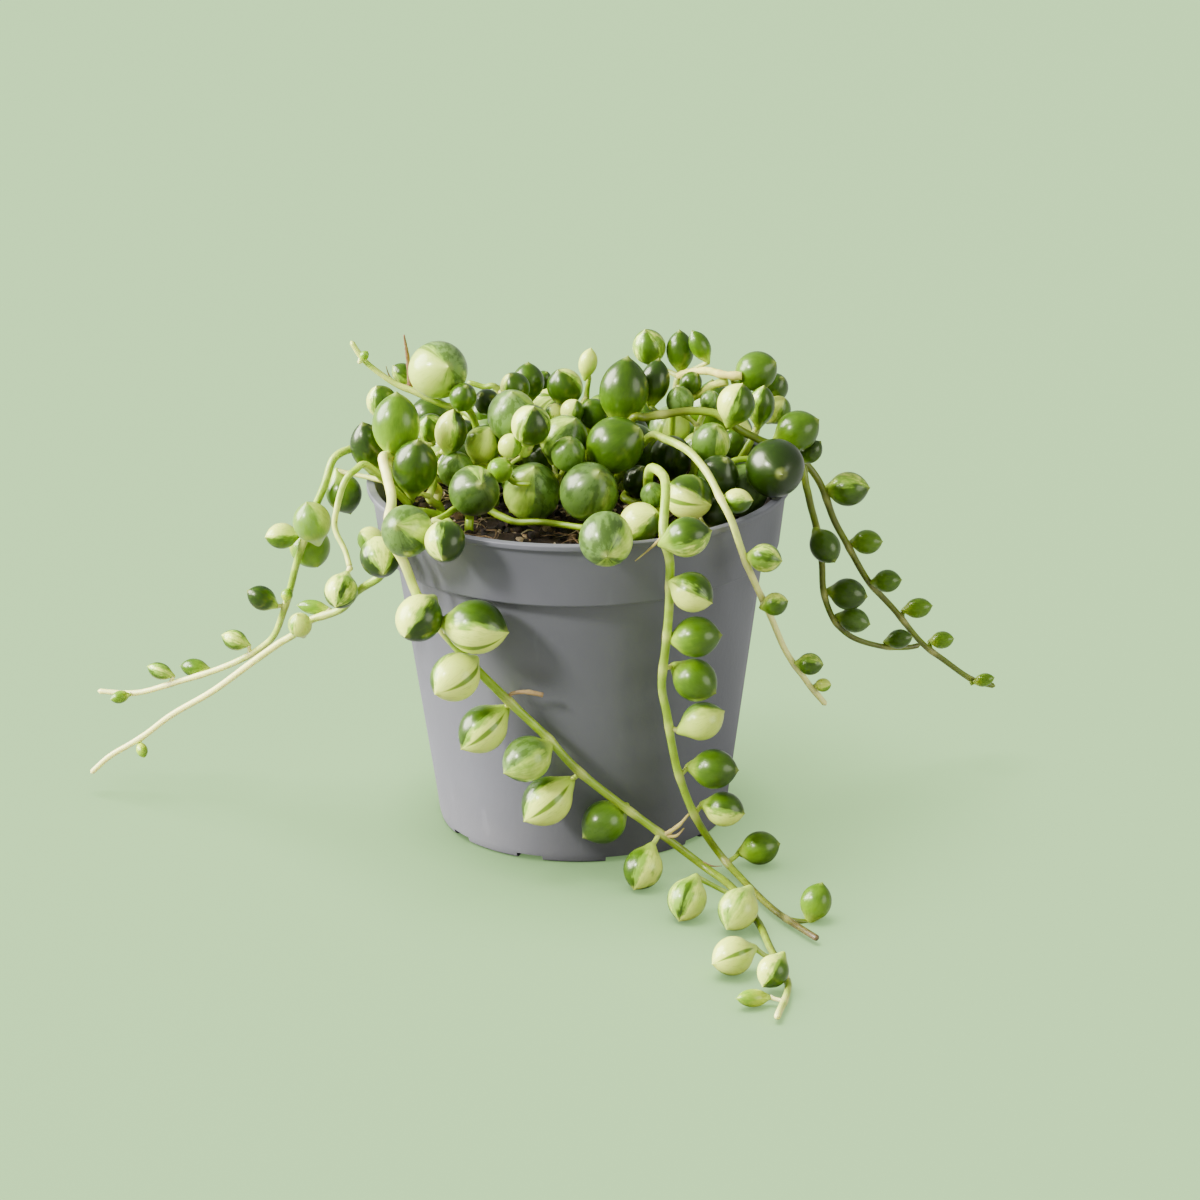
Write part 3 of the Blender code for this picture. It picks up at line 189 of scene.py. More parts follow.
def stem(name, root, leaves, route=(), floor=(), width=1.3, tones=(0.5, 0.5)):
    """root: where it leaves the soil, in mm. route: (px, py, mm behind the axis). floor: (px, py, height).
    tones: evenly spaced from root to tip, each from 0 brown over 0.5 yellow-green to 1 pale cream."""
    return Stem(name, root, route, floor, width, leaves, tones)


TRAILING = (
    stem(
        "stem_front_left_long",
        root=(-20.5, 3.0),
        tones=(0.84, 0.88, 0.76, 0.58, 0.5, 0.45, 0.4, 0.4, 0.8),
        width=1.5,
        route=(
            (391, 456, -7.5), (390, 472, -11), (393, 500, -16.5), (389, 519, -20.5), (391, 540, -22.5),
            (404, 562, -23), (417, 595, -22.5), (431, 615, -22.5), (458, 649, -23.5), (479, 672, -24.5),
            (506, 699, -25.5), (538, 731, -25.8), (574, 768, -26), (613, 799, -26), (661, 834, -26),
        ),
        floor=(
            (703, 866, 1.6), (733, 889, 1.0), (758, 924, 1.0), (769, 946, 1.0), (787, 985, 1.0),
            (777, 1018, 1.0),
        ),
        leaves=(
            leaf(look(0.72), 396, 425, 6.8, -5, (1, -29), 1.22),
            leaf(look(0.35, (255, 80), slit=(200, 25)), 419, 618, 6.4, None, (-10, 14)),
            leaf(look(0.42, (180, 62), slit=(180, 52)), 476, 627, 7.4, None, (29, 4), 1.1),
            leaf(look(0.5, (215, 130), slit=(190, 28)), 455, 677, 6.7, None, (-16, 14)),
            leaf(look(0.4, (160, 72), slit=(150, 15)), 483, 729, 6.5, None, (-22, 19), 1.08),
            leaf(look(0.45, (225, 30), veil=0.6), 527, 759, 6.4, None, (-20, 12)),
            leaf(look(0.4, (155, 92), slit=(160, 12)), 547, 801, 6.7, None, (-24, 20), 1.08),
            leaf(look(0.55, veil=0.15), 604, 822, 5.9, None, (-20, 14)),
            leaf(look(0.5, (190, 50)), 643, 868, 5.5, lies=True, tip=(-8, 19)),
            leaf(look(0.45, (130, 60), (290, 15), slit=(300, 10)), 687, 899, 5.4, lies=True, tip=(-8, 18)),
            leaf(look(0.6, (200, 60), (320, 30), veil=0.4), 738, 909, 5.5, lies=True, tip=(-10, 16)),
            leaf(look(0.75, (270, 150), slit=(350, 5)), 733, 956, 5.2, lies=True, tip=(-18, 6)),
            leaf(look(0.5, (300, 55)), 773, 971, 4.2, lies=True, tip=(-9, 14)),
            leaf(look(1.0), 753, 998, 2.4, lies=True, tip=(-15, 0), long=1.7),
        ),
    ),
    stem(
        "stem_front_right_long",
        root=(9.5, -2.0),
        tones=(0.5, 0.58, 0.62, 0.6, 0.58, 0.5, 0.4, 0.3, 0.0),
        width=1.45,
        route=(
            (650, 470, -15), (662, 474, -20), (666, 490, -26), (664, 532, -31.5), (671, 562, -32),
            (671, 595, -31), (667, 640, -29.5), (662, 684, -28.5), (667, 714, -28), (673, 750, -27.5),
            (680, 778, -27), (697, 820, -26),
        ),
        floor=((724, 860, 1.6), (753, 891, 1.0), (775, 911, 1.0), (797, 926, 1.0), (818, 939, 1.0)),
        leaves=(
            leaf(look(0.45, (135, 30)), 687, 537, 5.5, None, (23, -6), 1.08),
            leaf(look(0.45, (135, 60), slit=(120, 15)), 692, 592, 5.4, None, (17, 9)),
            leaf(look(0.6), 696, 637, 5.6, None, (24, -2), 1.1),
            leaf(look(0.6), 695, 680, 5.8, None, (18, 12)),
            leaf(look(0.72, (90, 80), veil=0.6), 702, 721, 5.2, None, (21, -9), 1.1),
            leaf(look(0.5), 714, 769, 5.5, None, (22, 2), 1.1),
            leaf(look(0.5, (160, 55), slit=(0, 5)), 724, 809, 4.9, None, (18, 4), 1.08),
            # These two leaves lie where the pot's shadow falls; their pale tone is painted light that lightens them
            # there.
            leaf(look(0.72), 760, 848, 4.8, lies=True, tip=(18, -4)),
            leaf(look(0.75), 816, 902, 4.3, lies=True, tip=(6, -18), long=1.15),
        ),
    ),
    stem(
        "stem_right_over_rim",
        root=(5.0, 4.5),
        tones=(0.5, 0.6, 0.65, 0.75, 0.95, 1.0),
        route=(
            (648, 439, -1), (664, 439, -5), (689, 452, -11), (708, 476, -17), (721, 500, -21.5),
            (732, 521, -23.5), (743, 552, -24), (757, 586, -23), (770, 614, -22), (786, 650, -21),
            (805, 677, -20), (826, 705, -19),
        ),
        leaves=(
            leaf(look(0.5, (0, 55)), 737, 501, 3.5, -21.5, (14, 0), 1.15),
            leaf(look(0.6, (0, 28), (180, 30)), 765, 558, 4.0, None, (14, 2), 1.1),
            leaf(look(0.6, (0, 45)), 775, 604, 3.2, None, (11, -3)),
            leaf(look(0.55, (330, 20)), 810, 664, 3.1, None, (11, 1), 1.1),
            leaf(look(0.95, (0, 100)), 823, 685, 1.9, None, (6, 0), 1.2),
        ),
    ),
    stem(
        "stem_arch_right_outer",
        root=(6.0, 8.0),
        tones=(0.40, 0.38, 0.36, 0.34, 0.28, 0.26, 0.28, 0.34),
        route=(
            (630, 421, -0.5), (645, 417, -0.5), (664, 414, 0), (690, 411, 0), (717, 414, -0.5),
            (737, 428, 0), (762, 441, 2), (785, 450, 3.5), (805, 463, 4.5), (821, 485, 5),
            (834, 519, 6), (848, 544, 7), (869, 580, 8.5), (894, 609, 10.5), (921, 642, 13),
            (944, 660, 15), (973, 680, 17), (995, 686, 18),
        ),
        leaves=(
            leaf(look(0.42), 624, 391, 6.9, 0, (5, -31), 1.25),
            leaf(look(0.3), 655, 382, 4.3, 5, (4, -22), 1.35),
            leaf(look(0.5, (340, 60)), 736, 404, 5.3, -1, (6, -17)),
            leaf(look(0.62), 797, 431, 5.8, 1, (19, -10)),
            leaf(look(0.4), 811, 452, 2.9, 2.5, (9, -9), 1.25),
            # The cream stripe at the top of this leaf is a painted highlight.
            leaf(look(0.5, (350, 30)), 848, 489, 4.9, None, (19, 0), 1.12),
            # These leaves towards the strand's tip are paler partly as young leaves are and partly as painted light,
            # standing in for light that shines through them in the heap's shade.
            leaf(look(0.75), 867, 542, 3.6, None, (13, 0), 1.15),
            leaf(look(0.66), 887, 581, 3.3, None, (13, -1), 1.15),
            leaf(look(0.8), 918, 608, 3.0, None, (13, -2), 1.25),
            leaf(look(0.85), 942, 640, 2.6, None, (10, -1), 1.25),
            leaf(look(0.85), 984, 680, 2.0, None, (9, -2), 1.4),
        ),
    ),
    stem(
        "stem_right_inner",
        root=(23.0, 1.0),
        tones=(0.34, 0.32, 0.28, 0.28, 0.3),
        width=1.2,
        route=(
            (797, 467, 0), (806, 486, -1), (811, 507, 0), (817, 530, 1), (822, 562, 2), (824, 591, 3),
            (834, 617, 4.5), (851, 635, 6), (876, 644, 8), (905, 647, 10), (920, 645, 11),
        ),
        leaves=(
            leaf(look(0.5), 825, 546, 4.3, None, (8, 14), 1.15),
            leaf(look(0.45), 848, 594, 4.6, None, (17, 3), 1.08),
            leaf(look(0.55, veil=0.3), 854, 620, 3.6, None, (14, 4), 1.2),
            leaf(look(0.55), 899, 639, 2.8, None, (11, -2), 1.3),
        ),
    ),
    stem(
        "stem_left_outer",
        root=(-23.5, 8.5),
        tones=(0.5, 0.6, 0.6, 0.62, 0.86, 1.0),
        width=1.25,
        route=(
            (372, 450, 4), (353, 449, 1.5), (335, 459, 0), (326, 484, -1), (315, 509, -1), (306, 535, 0),
            (297, 562, 1), (290, 590, 2), (284, 610, 3), (275, 634, 4.5), (262, 647, 6), (240, 660, 7.5),
            (213, 671, 9), (177, 682, 11), (136, 693, 13), (98, 691, 15),
        ),
        leaves=(
            leaf(look(0.85, (20, 45), veil=0.5), 312, 522, 5.4, -4, (-4, -16)),
            leaf(look(0.92, veil=0.2), 310, 546, 5.8, None, (6, 17)),
            leaf(look(0.7, (300, 80)), 282, 536, 3.7, None, (-13, 1), 1.2),
            leaf(look(0.35), 262, 598, 3.5, None, (-12, -7), 1.2),
            leaf(look(0.95), 287, 595, 1.7, None, (2, -7)),
            leaf(look(0.6, (300, 40)), 235, 640, 3.0, None, (-11, -4), 1.2, side=-1),
            leaf(look(0.6), 195, 668, 2.8, None, (-12, -2), 1.4, side=-1),
            leaf(look(0.6, (300, 25)), 160, 671, 2.5, None, (-11, -4), 1.4, side=-1),
            leaf(look(0.85), 120, 697, 1.9, None, (-8, 2), 1.35),
        ),
    ),
    stem(
        "stem_left_inner",
        root=(-24.5, -1.5),
        tones=(0.5, 0.62, 0.76),
        width=1.2,
        route=(
            (368, 463, -3), (359, 466, -4.5), (346, 478, -6), (338, 503, -7), (335, 528, -8),
            (345, 550, -10), (350, 568, -11.5),
        ),
        leaves=(
            leaf(look(0.5), 344, 493, 5.1, 0, (5, 17), side=-1),
            leaf(look(0.42, (320, 45), (90, 25)), 341, 591, 4.7, None, (-4, 13)),
        ),
    ),
    stem(
        "stem_left_lower",
        root=(-19.0, -9.0),
        tones=(0.5, 0.56, 0.62, 0.84, 1.0, 1.0),
        route=(
            (413, 512, -18.2), (402, 529, -17.3), (388, 552, -15.5), (382, 575, -15.5), (357, 591, -13),
            (341, 609, -9), (310, 620, -7), (293, 635, -5), (281, 642, -4), (250, 664, -2), (213, 691, 1),
            (172, 715, 4), (141, 739, 6), (111, 756, 7.5), (91, 773, 8.5),
        ),
        leaves=(
            leaf(look(0.3, (0, 40)), 380, 557, 5.6, -19, (3, 12)),
            leaf(look(0.7, (0, 100)), 371, 540, 3.7, -9.5, (-8, -6)),
            leaf(look(0.8), 313, 607, 2.1, None, (-14, -2), 1.9, side=-1),
            leaf(look(0.8, (0, 175)), 300, 625, 3.4, None, (-2, -8)),
            leaf(look(1.0), 142, 750, 1.7, None, (2, 6), 1.3),
        ),
    ),
)

HEAPED = (
    stem(
        "stem_growing_tip",
        root=(-13.0, 9.0),
        tones=(0.5, 0.56, 0.62, 0.66),
        route=(
            (471, 413, 6), (448, 406, 5.5), (430, 399, 5.5), (413, 391, 6), (395, 384, 6.5),
            (369, 365, 7.5), (358, 352, 8), (351, 341, 8.5),
        ),
        width=1.2,
        leaves=(
            leaf(look(0.5, (255, 70), (160, 25), slit=(350, 30), veil=0.9), 438, 370, 8.3, 6, (7, -1), 1.04),
            leaf(look(0.5, (270, 30)), 403, 374, 3.1, 10, (-9, -7)),
            leaf(look(0.5), 463, 397, 3.9, 3, (3, -8)),
            leaf(look(0.9), 364, 356, 1.3, None, (3, -4), 1.3),
        ),
    ),
    stem(
        "stem_crown_left",
        root=(-10.0, 14.5),
        route=((500, 393, 13.5), (484, 387, 14), (467, 382, 14.5)),
        leaves=(
            leaf(look(0.45, (320, 50)), 515, 388, 4.3, 7, (-3, -10)),
            leaf(look(0.5), 528, 382, 4.6, 12, (0, -17), 1.1),
            leaf(look(0.5), 543, 380, 2.6, 16, (3, -6)),
            leaf(look(0.2), 487, 402, 3.7, 9, (-4, -5)),
        ),
    ),
    stem(
        "stem_flower_bud",
        root=(1.5, 10.5),
        width=1.1,
        route=((586, 404, 8), (587, 385, 6.5), (588, 375, 6)),
        leaves=(
            leaf(look(0.95, (0, 170)), 588, 363, 2.7, 6, (3, -13), 1.45),
            leaf(look(0.45, (0, 45)), 565, 387, 5.1, 9, (-5, -12)),
            leaf(look(0.6, (0, 120)), 572, 411, 3.3, 2.5, (3, -7)),
            leaf(look(0.6, (0, 120)), 555, 414, 2.9, 8.5, (-4, -6)),
            leaf(look(0.55), 594, 414, 4.3, 3, (-4, -8)),
        ),
    ),
    stem(
        "stem_left_side",
        root=(-24.0, 4.5),
        leaves=(
            leaf(look(0.25), 368, 447, 5.0, -1, (-3, -20), 1.35),
            leaf(look(0.5, (315, 45)), 382, 402, 4.4, 6, (-3, -12), 1.1),
            leaf(look(0.5, (270, 25), (60, 20)), 431, 428, 4.0, 3, (-2, -8)),
        ),
    ),
    stem(
        "stem_left_heap",
        root=(-19.5, -1.5),
        leaves=(
            leaf(look(0.42), 415, 467, 6.3, -5, (3, -20), 1.25),
            leaf(look(0.55, veil=0.8), 456, 470, 5.1, -1, (2, -9)),
            # The cream on this leaf's left half is a painted highlight of the light from the left.
            leaf(look(0.3, (270, 70)), 451, 432, 4.6, -1, (3, -18), 1.3),
        ),
    ),
    stem(
        "stem_front_left_runner",
        root=(-15.5, -8.0),
        route=((458, 508, -14.5), (446, 515, -19), (434, 521, -22)),
        leaves=(
            leaf(look(0.35, (20, 12), veil=0.2), 474, 491, 7.0, -11, (5, -4), 1.04),
            leaf(look(0.5, (90, 35), slit=(200, 30), veil=0.45), 407, 531, 7.1, -24, (-5, -3), 1.04),
            leaf(look(0.25, (270, 45)), 445, 541, 5.5, -27, (-2, 14)),
        ),
    ),
    stem(
        "stem_cream_tip",
        root=(-9.5, 0.5),
        width=1.1,
        route=((508, 474, -7.5), (515, 483, -11), (531, 484, -12)),
        leaves=(
            leaf(look(0.9, (0, 150)), 510, 446, 3.4, -6.5, (3, -7)),
            leaf(look(0.8), 500, 470, 3.5, -9.5, (7, -3)),
            leaf(look(0.7, (0, 150)), 525, 449, 2.3, -4.5, (3, -6)),
        ),
    ),
    stem(
        "stem_middle_left",
        root=(-12.0, 4.0),
        leaves=(
            leaf(look(0.3, (200, 60), (310, 20), veil=0.4), 483, 444, 5.1, 1, (6, -12)),
            leaf(look(0.5, (20, 25), veil=0.9), 512, 416, 7.1, 4.5, (0, -17)),
            leaf(look(0.35, (310, 50), (40, 20), slit=(270, 30)), 531, 425, 5.5, -2, (3, -13)),
        ),
    ),
    stem(
        "stem_middle",
        root=(-4.5, 3.5),
        leaves=(
            leaf(look(0.45, (300, 30), veil=0.5), 564, 440, 6.8, 2.5, (8, -14)),
            leaf(look(0.6, (0, 25), veil=0.3), 568, 454, 4.8, -3.5, (2, -9)),
            leaf(look(0.42, (240, 35), veil=0.8), 532, 492, 8.1, -6, (3, -16), 1.04),
        ),
    ),
    stem(
        "stem_middle_right",
        root=(1.5, 4.0),
        leaves=(
            leaf(look(0.32, veil=0.3), 589, 492, 8.2, -5.5, (6, -12), 1.04),
            leaf(look(0.48), 615, 445, 8.0, -5, (18, -13), 1.04),
        ),
    ),
    stem(
        "stem_front_runner",
        root=(-14.5, -2.0),
        width=1.2,
        route=(
            (500, 511, -6), (520, 515, -9), (545, 518, -12), (566, 522, -13), (588, 526, -16),
            (596, 522, -21),
        ),
        leaves=(
            leaf(look(0.35, (110, 35), (180, 18), veil=0.5), 606, 539, 7.4, -33, (0, 13), 1.04),
            leaf(look(0.6, (0, 110)), 640, 523, 5.7, -15, (10, -6), 1.04),
        ),
    ),
    stem(
        "stem_top_right",
        root=(13.0, 11.5),
        route=((673, 406, 11), (675, 392, 10.5), (678, 376, 10.5)),
        leaves=(
            leaf(look(0.6, (300, 25), (60, 20)), 649, 347, 4.7, 12, (-3, -13), 1.08),
            leaf(look(0.5), 680, 351, 4.0, 12, (-1, -18), 1.35),
            leaf(look(0.62), 700, 346, 2.9, 9, (-7, -14), 1.5),
            leaf(look(0.5), 691, 383, 3.2, 8, (4, -6)),
        ),
    ),
    stem(
        "stem_right_back",
        root=(21.5, 10.0),
        leaves=(
            leaf(look(0.5, (0, 25)), 761, 406, 4.0, 4, (2, -16), 1.4),
            leaf(look(0.7, (0, 110)), 777, 410, 4.0, 9, (6, -8)),
            leaf(look(0.5), 773, 388, 4.3, 11, (7, -7)),
            leaf(look(0.62), 756, 371, 5.7, 7.5, (15, -5), 1.05),
        ),
    ),
    stem(
        "stem_right_middle",
        root=(15.5, 4.5),
        leaves=(
            leaf(look(0.15), 671, 458, 6.2, 3, (0, -14)),
            leaf(look(0.55, (90, 35), veil=0.3), 711, 443, 5.4, -4, (4, -12), 1.12),
            leaf(look(0.6, veil=0.8), 680, 401, 4.0, 6, (-2, -9)),
            leaf(look(0.6, veil=0.8), 710, 401, 2.9, 6, (3, -6)),
        ),
    ),
    stem(
        "stem_right_front",
        root=(20.0, -1.0),
        leaves=(
            leaf(look(0.5, veil=0.6), 741, 489, 7.7, -5.5, (8, -14), 1.04),
            leaf(look(0.2), 718, 476, 5.7, -10, (6, -12)),
            leaf(look(0.08), 775, 468, 8.2, -8.5, (4, 5), 1.04),
        ),
    ),
    stem(
        "stem_right_low",
        root=(15.5, -4.5),
        leaves=(
            leaf(look(0.2), 717, 512, 4.3, -11, (4, -9)),
            leaf(look(0.45, (180, 85), slit=(180, 20)), 689, 497, 6.3, -13, (17, 6), 1.04),
        ),
    ),
    stem(
        "stem_shaded",
        root=(8.0, 2.0),
        leaves=(
            leaf(look(0.12), 639, 482, 4.6, -4, (2, -10)),
            leaf(look(0.5, veil=0.5), 653, 495, 3.5, -9, (-2, -7)),
        ),
    ),
)

# Dried bits of the stems. stem: what each grows from. tone: from 0 brown over 0.5 tan to 1 straw. widths:
# at its start and end. spots: pixels across and down, and how far behind its stem, where the first is
Bit = namedtuple("Bit", "stem tone widths spots")
BITS = (
    Bit("stem_growing_tip", 0.12, (1.0, 0.3), ((410, 388, 0.5), (408, 360, 0.5), (404, 335, 0.0))),
    Bit("stem_growing_tip", 0.2, (0.5, 0.1), ((396, 384, 2.0), (389, 375, 2.5), (386, 366, 2.0))),
    Bit("stem_top_right", 0.72, (1.0, 1.2), ((690, 372, -1.0), (708, 371, -3.0), (724, 375, -4.5), (742, 376, -5.0))),
    Bit("stem_top_right", 0.88, (1.0, 1.3), ((674, 408, -2.0), (694, 397, -3.0), (712, 386, -4.0), (727, 381, -4.5))),
    Bit("stem_front_right_long", 0.55, (0.5, 0.15), ((664, 535, 0.0), (652, 547, -0.6), (635, 561, -0.3))),
    Bit("stem_front_left_long", 0.4, (0.45, 0.75), ((511, 694, 0.0), (526, 692, -0.4), (543, 695, -0.3))),
    Bit("stem_front_left_long", 0.6, (0.9, 0.3), ((662, 836, 0.0), (678, 826, -0.3), (689, 814, 0.5))),
    Bit("stem_front_left_long", 0.5, (0.7, 0.2), ((664, 836, 0.0), (676, 836, -0.5), (684, 828, 0.0))),
    Bit("stem_front_left_long", 0.3, (0.35, 0.1), ((702, 862, 0.0), (712, 866, -0.4), (722, 866, -0.3))),
)

# The stems behind and inside the heap: where each leaves the soil, the way it creeps, and its bends
Creeping = namedtuple("Creeping", "name root heading bends")
CREEPING = (
    Creeping("stem_inner_1", (-2.5, 15.0), 200, 4),
    Creeping("stem_inner_2", (8.0, 15.5), 330, 4),
    Creeping("stem_inner_3", (14.0, 16.5), 60, 4),
    Creeping("stem_back_1", (-21.5, 12.0), 110, 5),
    Creeping("stem_back_2", (-8.0, 21.0), 190, 5),
    Creeping("stem_back_3", (3.0, 21.5), 0, 5),
    Creeping("stem_back_4", (21.5, 14.5), 100, 5),
)

HIDDEN_WIDTH = 1.1

# The stems that hang over the back of the rim: the way each leaves the axis, in degrees from +X, how
# far it hangs below the rim, and how many leaves it has
Hanging = namedtuple("Hanging", "name azimuth drop count")
HANGING = (
    Hanging("stem_over_back_1", 124, 22, 8),
    Hanging("stem_over_back_2", 92, 12, 5),
    Hanging("stem_over_back_3", 58, 18, 7),
)
HANGING_ROOT = 21.5
OVER_RIM = (
    (26.0, RIM_HEIGHT + 0.8), (29.5, RIM_HEIGHT + 2.0), (32.2, RIM_HEIGHT + 0.8), (33.3, RIM_HEIGHT - 4.0),
)

# The heap's skyline as the camera sees it, in pixels. Hidden leaves stay under it
SKYLINE = np.array(
    (
        (350, 480), (372, 430), (385, 405), (410, 412), (450, 412), (480, 395), (505, 380), (545, 380),
        (580, 398), (600, 400), (620, 372), (650, 345), (700, 350), (725, 385), (760, 365), (785, 385),
        (800, 425), (820, 445), (840, 500),
    )
)


def sight(px, py):
    """The camera's place, and the way from it through a pixel of the photograph."""
    across, down = px - LOOK_AT_PIXEL[0], py - LOOK_AT_PIXEL[1]
    cosine, sine = math.cos(CAMERA_ROLL), math.sin(CAMERA_ROLL)
    right = cosine * across + sine * down
    up = sine * across - cosine * down
    focal = PIXELS_PER_MM * CAMERA_AWAY
    ray = (CAMERA_RIGHT * right + CAMERA_UP * up) / focal - TOWARDS_CAMERA
    return LOOK_AT + TOWARDS_CAMERA * CAMERA_AWAY, ray


def seen_behind(px, py, behind):
    """The point that shows at a pixel, this far behind the pot's axis."""
    place, ray = sight(px, py)
    return place + ray * (behind - place[1]) / ray[1]


def seen_above(px, py, height):
    """The point that shows at a pixel, this high over the surface."""
    place, ray = sight(px, py)
    return place + ray * (height - place[2]) / ray[2]


def pixels_of(points):
    """Where the camera sees each point."""
    away = np.atleast_2d(points) - (LOOK_AT + TOWARDS_CAMERA * CAMERA_AWAY)
    depth = -away @ TOWARDS_CAMERA
    focal = PIXELS_PER_MM * CAMERA_AWAY
    right = away @ CAMERA_RIGHT / depth * focal
    down = -away @ CAMERA_UP / depth * focal
    cosine, sine = math.cos(CAMERA_ROLL), math.sin(CAMERA_ROLL)
    return np.stack(
        (cosine * right - sine * down + LOOK_AT_PIXEL[0], sine * right + cosine * down + LOOK_AT_PIXEL[1]),
        axis=1,
    )


def unit(vector):
    return vector / max(np.linalg.norm(vector), 1e-9)


def wall_line():
    """Balls along the middle of the pot's wall, as (distance from the axis, height)."""
    corners = np.array(
        (
            (FOOT_RADIUS, BASE_THICKNESS / 2),
            (BODY_FOOT_RADIUS - WALL / 2, BODY_FOOT_HEIGHT),
            (BODY_TOP_RADIUS - WALL / 2, COLLAR_FOOT_HEIGHT),
            (COLLAR_FOOT_RADIUS - WALL / 2, COLLAR_FOOT_HEIGHT + WALL / 2),
            (RIM_RADIUS - LIP_MIDDLE_IN, RIM_HEIGHT - LIP_MIDDLE_DOWN),
        )
    )
    lengths = np.linalg.norm(np.diff(corners, axis=0), axis=1)
    along = np.concatenate(((0.0,), np.cumsum(lengths)))
    places = np.linspace(0.0, along[-1], WALL_BALLS)
    return np.stack([np.interp(places, along, corners[:, i]) for i in range(2)], axis=1)


WALL_LINE = wall_line()


def holder_room(points, radii):
    """How far each ball is from the pot, the soil and the surface."""
    out = np.hypot(points[:, 0], points[:, 1])
    across = out[:, None] - WALL_LINE[None, :, 0]
    rise = points[:, 2, None] - WALL_LINE[None, :, 1]
    wall = np.hypot(across, rise).min(axis=1) - WALL_HALF
    edge = np.interp(points[:, 2], WALL_LINE[:, 1], WALL_LINE[:, 0])
    soil = np.where(out < edge, points[:, 2] - SOIL_TOP - SOIL_RELIEF, FAR)
    floor = points[:, 2] - FLOOR_CLEAR + CLEAR
    return np.minimum(np.minimum(wall, soil), floor) - radii


class Filled:
    """The balls that stand for what is placed already, each with the number of its stem."""

    def __init__(self):
        self.middles = np.zeros((0, 3))
        self.radii = np.zeros(0)
        self.owners = np.zeros(0, int)

    def add(self, middles, radii, owner):
        middles = np.atleast_2d(middles)
        rows = slice(len(self.middles), len(self.middles) + len(middles))
        self.middles = np.concatenate((self.middles, middles))
        self.radii = np.concatenate((self.radii, np.broadcast_to(radii, len(middles))))
        self.owners = np.concatenate((self.owners, np.full(len(middles), owner)))
        return rows

    def room(self, middles, radii, skip=-1):
        """The least distance from these balls to those of every stem but one, and to pot and soil."""
        middles = np.atleast_2d(middles)
        radii = np.broadcast_to(np.asarray(radii, float), len(middles))
        least = holder_room(middles, radii).min()
        others = self.owners != skip
        if others.any():
            apart = np.linalg.norm(middles[:, None] - self.middles[None, others], axis=2)
            least = min(least, (apart - radii[:, None] - self.radii[None, others]).min())
        return least


def leaf_balls(middle, radius, axis, long):
    """A leaf as three balls: its body, its tip and its base."""
    reach = radius * long
    tip = middle + axis * (reach - TIP_BALL[0] * radius)
    base = middle - axis * (reach - BASE_BALL[0] * radius)
    return np.array((middle, tip, base)), radius * np.array((1.0, TIP_BALL[1], BASE_BALL[1]))


def smooth_chain(points, step):
    """A Catmull-Rom curve through the points, cut into even steps."""
    points = np.asarray(points, float)
    ends = np.concatenate((2 * points[:1] - points[1:2], points, 2 * points[-1:] - points[-2:-1]))
    share = np.linspace(0.0, 1.0, 13)[:-1, None]
    dense = []
    for before, start, stop, after in zip(ends, ends[1:], ends[2:], ends[3:]):
        dense.append(
            0.5
            * (
                2 * start
                + (stop - before) * share
                + (2 * before - 5 * start + 4 * stop - after) * share**2
                + (3 * start - before - 3 * stop + after) * share**3
            )
        )
    dense = np.concatenate(dense + [points[-1:]])
    return even_steps(dense, step)


def even_steps(chain, step):
    """The same line with its points an even distance apart."""
    along = np.concatenate(((0.0,), np.cumsum(np.linalg.norm(np.diff(chain, axis=0), axis=1))))
    places = np.linspace(0.0, along[-1], max(int(round(along[-1] / step)), 2) + 1)
    return np.stack([np.interp(places, along, chain[:, i]) for i in range(3)], axis=1)


def bent_clear(chain, radius, filled, owner, fixed_start, fixed_end=0, rounds=BEND_ROUNDS, keeps_shape=False):
    """Moves a chain's free points out of every ball, and out of pot and soil, and evens the chain out as
    it goes. A chain that keeps its shape is evened out in how far it moved."""
    chain = chain.copy()
    free = slice(fixed_start, len(chain) - fixed_end)
    if len(chain[free]) == 0:
        return chain
    base = chain.copy() if keeps_shape else np.zeros_like(chain)
    wanted = np.where(filled.owners == owner, OWN_GAP, CLEAR + BEND_SPARE)
    for turn in range(rounds):
        if turn < rounds - SETTLING_ROUNDS:
            offset = chain - base
            offset[1:-1] += SMOOTHING * ((offset[:-2] + offset[2:]) / 2 - offset[1:-1])
            chain[free] = (base + offset)[free]
        points = chain[free]
        away = points[:, None] - filled.middles[None]
        apart = np.maximum(np.linalg.norm(away, axis=2), 1e-6)
        short = np.maximum(filled.radii[None] + radius + wanted[None] - apart, 0.0)
        push = (away / apart[..., None] * short[..., None]).sum(axis=1)
        room = holder_room(points, radius)
        slope = np.stack(
            [(holder_room(points + NUDGE * way, radius) - room) / NUDGE for way in np.eye(3)], axis=1
        )
        push += slope * np.maximum(CLEAR + HOLDER_SPARE - room, 0.0)[:, None]
        length = np.linalg.norm(push, axis=1, keepdims=True)
        chain[free] = points + push * np.minimum(1.0, LONGEST_PUSH / np.maximum(length, 1e-9)) * PUSH_SHARE
    return chain


def stem_radii(width, count):
    """A stem thins towards its tip."""
    return width / 2 * np.linspace(1.0, 0.62, count)


def root_points(root):
    """The foot of a stem: straight up from its end in the hole until it is clear of the soil."""
    x, y = root
    bottom = SOIL_TOP - HOLE_DEPTH + 2 * CLEAR
    return [np.array((x, y, height)) for height in (bottom, bottom + 1.4, SOIL_TOP + 0.7, SOIL_TOP + 1.9)]


def routed(plan):
    """The chain of a stem whose route is given."""
    points = root_points(plan.root)
    points += [seen_behind(*spot) for spot in plan.route]
    points += [seen_above(*spot) for spot in plan.floor]
    return smooth_chain(points, STEM_STEP)


